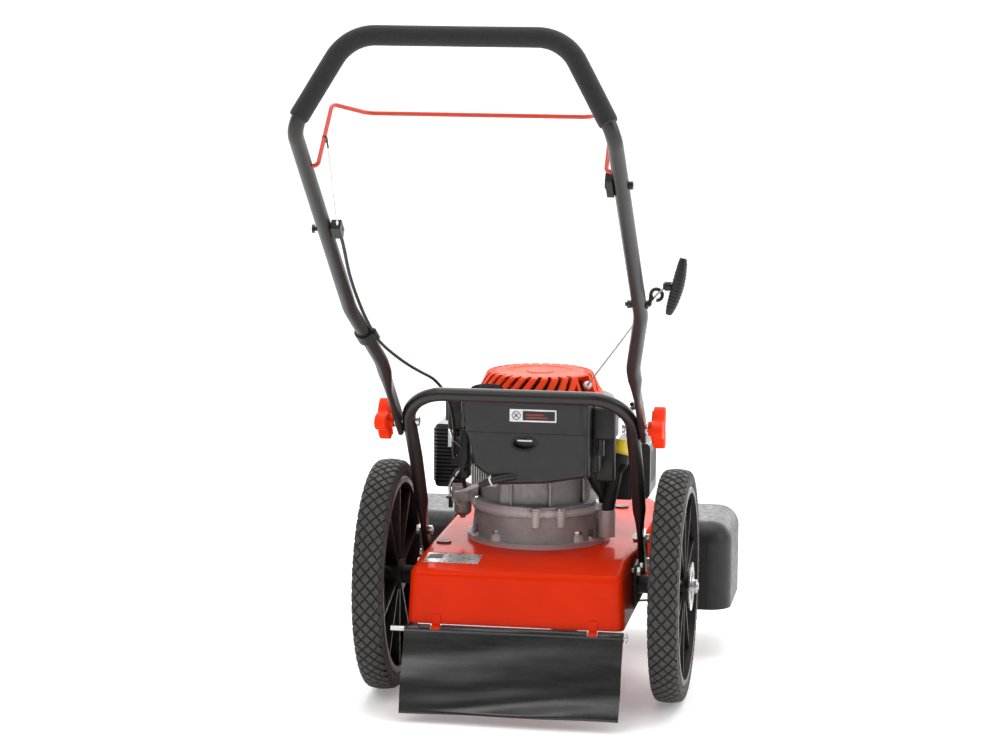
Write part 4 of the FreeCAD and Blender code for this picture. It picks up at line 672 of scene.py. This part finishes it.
def make_pull_grip():
    """The ribbed pull handle with its bright top ring."""
    low, high = box_mm("starter_grip")
    lean = radians(14.0)
    way = V((sin(lean), 0, cos(lean)))
    deep = V((cos(lean), 0, -sin(lean)))
    length = 82.0
    centre = V(((low.x + high.x) / 2 + 1.0, (low.y + high.y) / 2, (low.z + high.z) / 2))
    rings, count = [], 92
    for i in range(count + 1):
        t = i / count
        swell = sin(pi * (0.12 + 0.76 * t)) ** 0.6
        ridge = 0.0
        if 0.12 < t < 0.97:
            ridge = 0.75 * max(0.0, sin(2 * pi * t * 17))
        end = min(1.0, min(t, 1 - t) * 14) ** 0.5
        wide, thin = (11.6 * swell + ridge) * (0.75 + 0.25 * end), (8.6 * swell + ridge) * (0.75 + 0.25 * end)
        at = centre + way * (length * (t - 0.5)) + deep * (2.2 * sin(pi * t))
        ring = []
        for k in range(28):
            a = 2 * pi * k / 28
            flat = 0.85 + 0.15 * abs(cos(a))
            ring.append(at + Y * (wide * sin(a) * flat) + deep * (thin * cos(a)))
        rings.append(ring)
    shape = Shape().add(loft(rings))
    top = centre + way * (length / 2 - 0.4)
    ring = lathe([(3.5, -0.2), (8.0, -0.2), (8.4, 0.6), (8.0, 1.3), (3.5, 1.3)], 32)
    shape.add(ring, 1, facing(way, top) @ Matrix.Scale(0.78, 4, (1, 0, 0)))
    boss = lathe([(0, 0), (4.0, 0), (6.4, 3.0), (6.4, 11.0), (0, 11.0)], 24)
    start = V((low.x + 0.3, centre.y, rope_high.z - 1.6))
    shape.add(boss, 0, facing(X, start))
    piece("pull_grip", shape, [M["black_plastic"], M["bright_steel"]], "starter_grip", ["starter_grip"],
          35)


rope_low, rope_high = box_mm("starter_rope")
rope_eye = on_handle(348.0, 206.07) + V((24, 0, 14))
make_foam()
for side, name in ((-1, "left"), (1, "right")):
    make_knob(side, name)
make_pull_grip()


# ------------------------------------------------------------------ flap
def make_flap():
    """A rubber flap with a rolled hem round the rod and soft sideways waves."""
    half = box_mm("flap")[1].x - 0.5
    lean = radians(21.5)
    down = V((0, -sin(lean), -cos(lean)))
    back = X.cross(down)
    length, thick, hem = 127.0, 4.0, 8.0
    start = flap_pin - back * (hem - thick)
    across, along = 110, 48

    def wave(x, t):
        share = t * (1.4 - 0.4 * t)
        a = 3.4 * sin(2 * pi * (t * 1.55 + 0.10 * sin(x / 90.0)) + x / 210.0)
        b = 1.2 * sin(2 * pi * t * 2.7 + x / 60.0) * cos(x / 120.0)
        return share * (a + b + 1.6 * noise.noise(V((x / 80.0, t * 2.2, 0.3))))
    shape = Shape()
    rings = []
    for i in range(across + 1):
        x = -half + 2 * half * i / across
        outer, inner = [], []
        for k in range(along + 1):
            t = k / along
            sag = 1.3 * sin(x / 31.0 + 0.6) * t * t
            p = start + X * x + down * (length * t - 0.6 + sag * 0.5) + back * wave(x, t)
            edge = 1.0 if 1 <= k < along else 0.55
            outer.append(p)
            inner.append(p - back * thick * edge)
        rings.append(outer + inner[::-1])
    shape.add(loft(rings))
    ears = [-118.0, 118.0]
    spans = []
    at = -half
    for e in ears:
        spans.append((at, e - 8.0))
        at = e + 8.0
    spans.append((at, half))
    for a, b in spans:
        tube = lathe([(4.6, 0), (7.4, 0), (7.9, 0.6), (7.9, b - a - 0.6), (7.4, b - a), (4.6, b - a)], 28)
        shape.add(tube, 0, facing(X, V((a, flap_pin.y, flap_pin.z))))
    obj = piece("flap_sheet", shape, M["flap_rubber"], "flap", ["flap"], 60)
    return obj


make_flap()


# ------------------------------------------------------------------ cables and rope
def stretch(name, path, radius, mat, bodies, start, end, replaces=(), slot=None, sides=12, extra=None):
    """A cable swept along its path as one fixed piece, its placement baked into the mesh."""
    shape = Shape().add(sweep(path, radius, sides))
    if extra:
        extra(shape)
    obj = piece(name, shape, mat, None, (), 60)
    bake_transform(obj)
    if replaces:
        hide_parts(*replaces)
    return obj


leg_gap = 10.3                  # half the handle tube's thickness
flat_x = 183.3                  # the flattened leg's middle


def cable_route():
    """The brake cable from its stop on the left leg, through the clip, to the engine's bracket."""
    stop = on_handle(519.0, -(206.5 - leg_gap - 9.0))
    leg_low, leg_high = on_handle(174.0, -flat_x), on_handle(316.0, -206.0)
    way = (leg_high - leg_low).normalized()
    share = (247.0 - 174.0) / (316.0 - 174.0)
    clip = on_handle(247.0, -(flat_x + (206.0 - flat_x) * share) + leg_gap + 3.0)
    anchor = V((-128.0, 60.0, 356.0))
    return [stop - handle_up * 4, stop - handle_up * 40,
            stop + V((-2.5, 78, -72)), clip + way * 70 + V((1.5, 3, 2)),
            clip + way * 22, clip - way * 22, V((-157, -232, 548)), V((-142, -175, 524)),
            V((-126, -118, 503)), V((-116, -66, 466)), V((-115, -32, 430)),
            V((-118, 0, 392)), V((-126, 32, 363)), anchor]


route = cable_route()
brake_path = curve_path(route, 220)
stretch("brake_cable_sheath", brake_path, 2.4, M["sheath"], ("upper_handle", "chassis"),
        V((-150, -285, 585)), V((-118, -40, 440)), ["brake_cable"], "cable_sheath")


def make_wire():
    low, high = box_mm("brake_wire")
    data = [v.co / MM for v in nodes["brake_wire"].data.vertices]
    bottom = [p for p in data if p.z < low.z + 2.0]
    top = [p for p in data if p.z > high.z - 2.0]
    start = sum(bottom, V((0, 0, 0))) / len(bottom)
    end = sum(top, V((0, 0, 0))) / len(top)
    line = (end - start).normalized()

    def ends(shape):
        ferrule = lathe([(0, 0), (1.9, 0), (1.9, 7), (0.8, 9), (0, 9)], 16)
        shape.add(ferrule, 0, facing(line, start - line * 3))
    path = [start.lerp(end, i / 24) for i in range(25)]
    stretch("brake_inner_wire", path, 0.75, M["zinc"], ("upper_handle", "bail"),
            start + line * 8, end - line * 4, ["brake_wire"], "zinc_steel", 10, ends)
    hook = Shape()
    loop = [end + V((-3.2 + 3.6 * cos(a), 0.6 * a, 4.2 * sin(a)))
            for a in [i * pi / 10 for i in range(-9, 10)]]
    hook.add(sweep(loop, 0.95, 8))
    hook.add(sweep([end - line * 14 + V((0.4, 0, 0)), end - line * 6, end + V((0.2, 0, 0))], 1.2, 8))
    piece("wire_hook", hook, M["black_steel"], "bail", (), 40)


make_wire()


def make_rope():
    """The taut starter rope, from the cover's outlet to the guide's eye, and its tail to the grip."""
    data = [v.co / MM for v in nodes["starter_rope"].data.vertices]
    outlet = mean([p for p in data if p.x < rope_low.x + 3.0])
    eye = rope_eye
    end = mean([p for p in data if p.x > rope_high.x - 2.0])
    line = eye - outlet

    def strand(t, a):
        return 1.35 + 0.22 * cos(3 * a + t * 260)
    path = [outlet + line * (i / 260) for i in range(261)]
    stretch("starter_rope_run", path, strand, M["rope"], ("chassis", "upper_handle"), outlet + line * 0.06,
            outlet + line * 0.94, ["starter_rope"], "rope", 12)
    tail = [eye.lerp(end, i / 16) for i in range(17)]
    stretch("starter_rope_tail", tail, 1.5, M["rope"], ("upper_handle", "starter_grip"),
            eye, end, (), "rope", 10)


make_rope()


# ------------------------------------------------------------------ starter cover
def make_cover():
    """A domed cover: an upright band, a sloping shoulder with slanted slots and a flat top. The slots, the
    rope pocket and a disc closing the underside carry painted shade.
    """
    low, high = box_mm("starter_cover")
    r, z0, z1 = (high.x - low.x) / 2, low.z, high.z
    keys = [(r, z0), (r, z0 + 9), (r - 1.2, z0 + 10.5), (r - 4, z0 + 13),
            (r - 15, z1 - 3.2), (r - 18, z1 - 0.6), (r - 22, z1),
            (r - 46, z1), (r - 50, z1 - 1.2), (r - 78, z1 - 1.2)]
    profile = []
    for (ra, za), (rb, zb) in zip(keys, keys[1:]):
        count = max(1, int(sqrt((rb - ra) ** 2 + (zb - za) ** 2) / 1.6))
        profile += [(ra + (rb - ra) * i / count, za + (zb - za) * i / count) for i in range(count)]
    profile.append(keys[-1])
    steps, slots = 504, 30
    first, last, width, slant = z0 + 14.0, r - 27.0, 0.34, 1.0
    shape = Shape()
    verts, painted_shade_mask = [], []
    for i in range(steps):
        a = 2 * pi * i / steps
        for rad, z in profile:
            phase = (slots * i / steps + -slant * (z - first) / (z1 - first)) % 1.0
            aside = abs((a - pocket_way + pi) % (2 * pi) - pi)
            pocket = aside < 0.17
            deep = z > first and rad > last and phase < width and aside > 0.25
            dent = 6.0 if deep else 0.0
            if pocket and z0 + 10 < z < z1 - 3:
                dent = 13.0
            verts.append(V((engine_at.x + (rad - dent) * cos(a), engine_at.y + (rad - dent) * sin(a),
                            z - dent * 0.5)))
            painted_shade_mask.append(dent > 0)
    n = len(profile)
    for i in range(steps):
        j = (i + 1) % steps
        for k in range(n - 1):
            face = [i * n + k, j * n + k, j * n + k + 1, i * n + k + 1]
            shape.faces.append(face)
            # Faces sunk into the slots or the rope pocket take the dark painted-shade colour.
            shape.mats.append(1 if sum(painted_shade_mask[v] for v in face) > 2 else 0)
    shape.verts = verts
    top = lathe([(0, z1 - 0.2), (21.0, z1 - 0.2), (21.0, z1 - 3.0), (0, z1 - 3.0)], 48)
    shape.add(top, 0, Matrix.Translation(V((engine_at.x, engine_at.y, 0))))
    # A dark disc closing the cover's underside: painted shade where the inside lies in shadow.
    under = lathe([(0, z0 + 0.5), (r - 1.0, z0 + 0.5), (r - 1.0, z0), (0, z0)], 96)
    shape.add(under, 1, Matrix.Translation(V((engine_at.x, engine_at.y, 0))))
    ferrule = lathe([(1.8, 0), (5.5, 0), (6.2, 2.0), (6.2, 6.0), (4.6, 9.0), (1.8, 9.0)], 24)
    line = rope_eye - rope_outlet
    shape.add(ferrule, 2, facing(line, rope_outlet - line.normalized() * 6))
    piece("starter_cover_shell", shape, [M["cover_orange"], M["slot_painted_shade"], M["label_white"]], "chassis",
          ["starter_cover"], 28)


rope_outlet = mean([v.co / MM for v in nodes["starter_rope"].data.vertices if v.co.x / MM < rope_low.x + 3.0])
pocket_way = atan2(rope_outlet.y - engine_at.y, rope_outlet.x - engine_at.x)
make_cover()


# ------------------------------------------------------------------ tank: seam, ridges and label
def make_tank_trim():
    low, high = box_mm("fuel_tank")
    rear, top = low.y, high.z - 8.0
    half = high.x
    shape = Shape()
    seam = top - 50.0
    shape.add(block((-half + 9, rear - 0.9, seam - 0.9), (half - 2, rear + 2, seam + 0.9), 0.6, 2))
    shape.add(block((-half + 3, rear - 1.4, top - 7), (half - 12, rear + 3, top - 3.5), 1.2, 3))
    shape.add(block((-half + 2, rear - 1.0, seam + 6), (-half + 6, rear + 3, top - 6), 1.2, 3))
    shape.add(block((half - 7, rear - 1.2, top - 118), (half - 3.5, rear + 3, top - 40), 1.2, 3))
    shape.add(block((half - 14, rear - 1.0, top - 44), (half - 10.5, rear + 3, top - 6), 1.2, 3))
    ring = []
    for i in range(49):
        a = 2 * pi * i / 48
        ring.append(V((-1 + 19.5 * cos(a), rear - 0.2, top - 65 + 10.6 * sin(a))))
    shape.add(sweep(ring, 1.3, 8))
    # Painted highlight: a bright zinc bar set in the hand-hold recess stands in for the light caught there.
    shape.add(block((-13, rear + 6.0, top - 63), (11, rear + 9, top - 59), 1.2, 2), 1)
    piece("tank_trim", shape, [M["tank_plastic"], M["zinc"]], "chassis", (), 30)
    label = Shape()
    x0, x1, z0, z1 = -23.0, 48.0, top - 31.5, top - 12.5
    label.add(block((x0, rear - 0.5, z0), (x1, rear + 0.4, z1), 0.15, 1), 0)
    label.add(block((x0 + 20, rear - 0.8, z0 + 2.4), (x1 - 2.2, rear, z1 - 2.4), 0.15, 1), 1)
    label.add(block((x0 + 25, rear - 1.0, z0 + 9.8), (x1 - 20, rear - 0.2, z0 + 12.0), 0.1, 1), 2)
    label.add(block((x0 + 25, rear - 1.0, z0 + 5.4), (x1 - 13, rear - 0.2, z0 + 7.6), 0.1, 1), 2)
    mark = [V((x0 + 10 + 6.2 * cos(a), rear - 0.5, (z0 + z1) / 2 + 6.2 * sin(a))) for a in
            [2 * pi * i / 24 for i in range(25)]]
    label.add(sweep(mark, 0.55, 6), 1)
    for slope in (1, -1):
        across = [V((x0 + 10 - 3.4, rear - 0.5, (z0 + z1) / 2 - 3.4 * slope)),
                  V((x0 + 10 + 3.4, rear - 0.5, (z0 + z1) / 2 + 3.4 * slope))]
        label.add(sweep(across, 0.7, 6), 1)
    piece("tank_label", label, [M["label_white"], M["label_dark"], M["label_red"]], "chassis", (), 30)
    cap = Shape()
    low, high = box_mm("fuel_cap")
    centre, r = (low + high) / 2, (high.x - low.x) / 2
    for i in range(36):
        rib = block((r - 2.2, -0.9, low.z + 2 - centre.z), (r - 0.1, 0.9, high.z - 2.5 - centre.z), 0.4, 1)
        cap.add(rib, 0, Matrix.Translation(centre) @ Matrix.Rotation(2 * pi * i / 36, 4, "Z"))
    piece("fuel_cap_ribs", cap, M["cap_plastic"], "fuel_cap", (), 30)


make_tank_trim()


# ------------------------------------------------------------------ engine: castings, covers and pipes
def ring_point(radius, x, z, offset=0.0):
    """A point on the rear of an upright cylinder about the crankshaft."""
    return V((x, engine_at.y + offset - sqrt(radius * radius - x * x), z))


def make_casting_detail():
    joint, flange = box_mm("crankcase")[0].z, box_mm("engine_sump")[0].z
    shape = Shape()
    for x in (-47.0, -31.0, 30.0, 76.0):
        at = ring_point(84.0, x, 0, -6.0)
        shape.add(block((x - 1.8, at.y - 4.5, joint), (x + 1.8, at.y + 10, joint + 48), 1.2, 3))
    at = ring_point(84.0, -39.0, 0, -6.0)
    shape.add(block((-46, at.y - 2.6, joint + 2), (-32, at.y + 9, joint + 44), 1.2, 3))
    for i in range(10):
        x = -84.0 + 3.6 * i
        top = 362.0 - max(0.0, x + 78.0) * 0.62
        shape.add(block((x, -50, 330), (x + 1.7, -14, top), 0.4, 1))
    shape.add(block((-86, -30, 326), (-48, -12, 334), 1.5, 2))
    for x in (-52.0, 70.8):
        at = ring_point(101.0, x, 0)
        boss = lathe([(0, 0), (9.5, 0), (8.5, 13), (8.0, 14), (0, 14)], 32)
        shape.add(boss, 0, Matrix.Translation(V((at.x, at.y, flange + 5))))
    for x in (-92.0, 97.0):
        shape.add(lathe([(0, 0), (8, 0), (8, 9), (7, 10), (0, 10)], 24), 0,
                  Matrix.Translation(V((x, 50.0, joint - 1))))
    rim = lathe([(107.0, 1.5), (108.6, 2.4), (108.6, 4.6), (107.0, 5.5), (100.0, 5.5), (100.0, 1.5)], 120)
    shape.add(rim, 0, Matrix.Translation(V((engine_at.x, engine_at.y, flange + 2))))
    piece("casting_ribs", shape, M["cast_aluminium"], "chassis", (), 30)
    bolts = Shape()
    for x, mat in ((-52.0, 1), (70.8, 0)):
        at = ring_point(101.0, x, 0)
        bolts.add(hex_head(10.0, 6.5, 8.2), mat, Matrix.Translation(V((at.x, at.y - 0.5, flange + 19))))
    for x in (8.0, 46.0):
        at = ring_point(104.0, x, 0)
        bolts.add(hex_head(8.0, 4.5, 5.6), 1, Matrix.Translation(V((x, at.y - 0.2, joint + 5.2))))
    for x in (-92.0, 97.0):
        bolts.add(hex_head(8.0, 5.0, 6.0), 0, Matrix.Translation(V((x, 50.0, joint + 9))))
    piece("casting_bolts", bolts, [M["bright_steel"], M["bare_steel"]], "chassis", (), 30)


def make_side_covers():
    shape = Shape()
    shape.add(block((97, -36, 404), (133, 14, 455), 6, 4))
    shape.add(block((92, -30, 352), (108, 16, 408), 4, 3))
    shape.add(block((96, 20, 330), (126, 40, 404), 4, 3))
    for i in range(4):
        shape.add(block((100 + i * 4.6, -34, 380), (102 + i * 4.6, -24, 410), 0.6, 2))
    shape.add(block((-132, 12, 404), (-104, 44, 452), 4, 3))
    shape.add(block((-112, 6, 330), (-98, 40, 408), 3, 3))
    rings = []
    for cx, cy, z, rx, ry in ((96, 60, 366, 13, 15), (94, 60, 354, 16, 17), (93, 60, 334, 16, 17),
                              (97, 60, 316, 12, 13), (102, 60, 302, 7, 9), (104, 60, 292, 4, 5)):
        rings.append([V((cx + rx * cos(a), cy + ry * sin(a), z))
                      for a in [2 * pi * k / 28 for k in range(28)]])
    shape.add(loft(rings))
    piece("side_covers", shape, M["black_plastic"], "chassis", (), 35)
    filter_low, filter_high = box_mm("air_filter")
    ribs = Shape()
    x0, y0, x1, y1 = filter_low.x, filter_low.y, filter_high.x, filter_high.y
    rib_count, rib_pitch = 15, 5.8
    for i in range(rib_count):
        z = filter_low.z + 8 + i * rib_pitch
        ribs.add(block((x0 + 3, y0 - 1.2, z), (x1 - 4, y0 + 1.0, z + 2.0), 0.5, 1))
        ribs.add(block((x0 - 0.2, y0 + 6, z), (x0 + 1.5, y1 - 8, z + 2.0), 0.5, 1))
    piece("filter_ribs", ribs, M["cap_plastic"], "chassis", (), 30)


def make_pipes():
    pipes = Shape()
    lead = curve_path([V((-112, -20, 314)), V((-100, -52, 320)), V((-82, -68, 331)), V((-64, -72, 338))], 40)
    pipes.add(sweep(lead, 2.6, 10), 1)
    hose = curve_path([V((-68, -71, 336)), V((-52, -73, 343)), V((-34, -71, 348)), V((-14, -62, 350))], 40)
    pipes.add(sweep(hose, lambda t, a: 3.6 + 2.6 * min(1.0, 2.5 * t), 16), 0)
    tie = V((-50, -73.0, 343.5))
    pipes.add(lathe([(5.6, -1.2), (7.0, -1.2), (7.0, 1.2), (5.6, 1.2)], 24), 2, facing(V((1, 0, 0.4)), tie))
    pipes.add(sweep([tie + V((0, -3, 5)), tie + V((0, -5, 10))], 0.9, 6), 2)
    drain = curve_path([V((-108, 44, 356)), V((-112, 40, 346)), V((-124, 38, 328)), V((-134, 38, 314)),
                        V((-133, 40, 296))], 60)
    pipes.add(sweep(drain, 1.7, 10), 3)
    plate = curve_path([V((-127, 4, 408)), V((-123, 3, 396)), V((-117, 3, 386)), V((-108, 4, 379))], 30)
    pipes.add(sweep(plate, 2.4, 8), 3)
    pipes.add(helix(V((-130, 40, 290)), V((-113, 44, 276)), 2.6, 0.6, 9), 3)
    clip = [V((-117 + 8 * cos(a), 34, 330 + 9 * sin(a))) for a in [0.4 + i * 0.25 for i in range(18)]]
    pipes.add(sweep(clip, 1.4, 8), 0)
    fuel = curve_path([V((-98, -2, 352)), V((-106, 14, 340)), V((-110, 30, 322)), V((-110, 52, 306))], 40)
    pipes.add(sweep(fuel, 3.4, 12), 0)
    mats = [M["sheath"], M["cast_aluminium"], M["label_white"], M["bright_steel"]]
    piece("engine_pipes", pipes, mats, "chassis", (), 40)


make_casting_detail()
make_side_covers()
make_pipes()


# ------------------------------------------------------------------ deck: decal
deck_slope_drop = 9.0           # the deck's top falls this far
deck_slope_run = 87.0           # over this length
deck_crease = -66.0             # behind this line


def make_decal():
    """A plain silver rating plate on the sloping rear of the deck's top."""
    deck_top = box_mm("deck")[1].z
    drop, run, crease = deck_slope_drop, deck_slope_run, deck_crease
    fall = drop / sqrt(run * run + drop * drop)
    across, down = V((1, 0, 0)), V((0, -sqrt(1 - fall * fall), -fall))
    up = V((0, -fall, sqrt(1 - fall * fall)))
    corner = V((-146, crease - 5, deck_top - 0.3)) + up * 0.35
    basis = Matrix((across, down, up)).transposed().to_4x4()
    move = Matrix.Translation(corner) @ basis
    shape = Shape().add(block((0, 0, -0.3), (84, 44, 0.3), 0.15, 1), 0, move)
    shape.add(block((4, 5, 0.2), (26, 26, 0.5), 0.1, 1), 1, move)
    for i, width in enumerate((44, 36, 46, 30)):
        shape.add(block((32, 6 + i * 8, 0.2), (32 + width, 9 + i * 8, 0.5), 0.1, 1), 2, move)
    piece("deck_plate", shape, [M["zinc"], M["label_dark"], M["bare_steel"]], "chassis", (), 30)


make_decal()


# ------------------------------------------------------------------ camera, light and floor
def make_camera():
    camera = bpy.data.objects.new("camera", bpy.data.cameras.new("camera"))
    bpy.context.scene.collection.objects.link(camera)
    right = V((0.98680854, 0.16175597, 0.00662713))
    up = V((-0.03115979, 0.14960466, 0.98825478))
    back = V((0.15886466, -0.97542475, 0.15267144))
    turn = Matrix((right, up, back)).transposed().to_4x4()
    camera.matrix_world = Matrix.Translation(V((0.66835, -4.40385, 1.18342))) @ turn
    camera.data.sensor_width = 36.0
    camera.data.lens = 106.74
    camera.data.clip_end = 50.0
    bpy.context.scene.camera = camera


def area_light(name, at, target, size, power, colour=(1, 1, 1)):
    light = bpy.data.lights.new(name, "AREA")
    light.shape, light.size, light.size_y = "RECTANGLE", size[0], size[1]
    light.energy, light.color = power, colour
    obj = bpy.data.objects.new(name, light)
    bpy.context.scene.collection.objects.link(obj)
    obj.location = at
    obj.rotation_mode = "QUATERNION"
    obj.rotation_quaternion = (V(target) - V(at)).to_track_quat("-Z", "Y")


def make_world():
    """An even white studio, a little dimmer on the side that the camera stands on."""
    world = bpy.data.worlds.new("studio")
    bpy.context.scene.world = world
    world.use_nodes = True
    tree = world.node_tree
    background = tree.nodes["Background"]
    where = tree.nodes.new("ShaderNodeTexCoord")
    split = tree.nodes.new("ShaderNodeSeparateXYZ")
    blend = tree.nodes.new("ShaderNodeMapRange")
    tree.links.new(where.outputs["Generated"], split.inputs["Vector"])
    tree.links.new(split.outputs["Y"], blend.inputs["Value"])
    for socket, value in (("From Min", -0.9), ("From Max", 0.2), ("To Min", 0.22), ("To Max", 1.02)):
        blend.inputs[socket].default_value = value
    glow = tree.nodes.new("ShaderNodeMapRange")
    tree.links.new(split.outputs["Y"], glow.inputs["Value"])
    for socket, value in (("From Min", 0.55), ("From Max", 0.95), ("To Min", 0.0), ("To Max", 2.4)):
        glow.inputs[socket].default_value = value
    add = tree.nodes.new("ShaderNodeMath")
    tree.links.new(blend.outputs["Result"], add.inputs[0])
    tree.links.new(glow.outputs["Result"], add.inputs[1])
    tree.links.new(add.outputs["Value"], background.inputs["Strength"])
    background.inputs["Color"].default_value = (1, 1, 1, 1)


def make_floor():
    mesh = bpy.data.meshes.new("floor")
    size = 40.0
    mesh.from_pydata([V((-size, -size, 0)), V((size, -size, 0)), V((size, size, 0)), V((-size, size, 0))], [],
                     [[0, 1, 2, 3]])
    floor = bpy.data.objects.new("floor", mesh)
    bpy.context.scene.collection.objects.link(floor)
    m = new_material("studio_floor", (0.9, 0.9, 0.9), 0.7, specular=0.1)
    feed(m, "Roughness", ramp(m, noise_node(m, 3, 2), 0.68, 0.74))
    shader = m.node_tree.nodes["Principled BSDF"]
    shader.inputs["Emission Color"].default_value = (1, 1, 1, 1)
    shader.inputs["Emission Strength"].default_value = 0.22
    mesh.materials.append(m)


make_camera()
make_world()
make_floor()
area_light("key", (-1.6, -2.6, 3.2), (0, 0, 0.5), (2.4, 2.0), 40)
area_light("top", (0.2, 0.6, 3.6), (0, 0.1, 0.3), (3.6, 3.0), 70)
area_light("side", (3.0, -0.8, 1.6), (0, 0, 0.4), (1.6, 2.0), 25)
bpy.context.scene.view_settings.view_transform = "Standard"
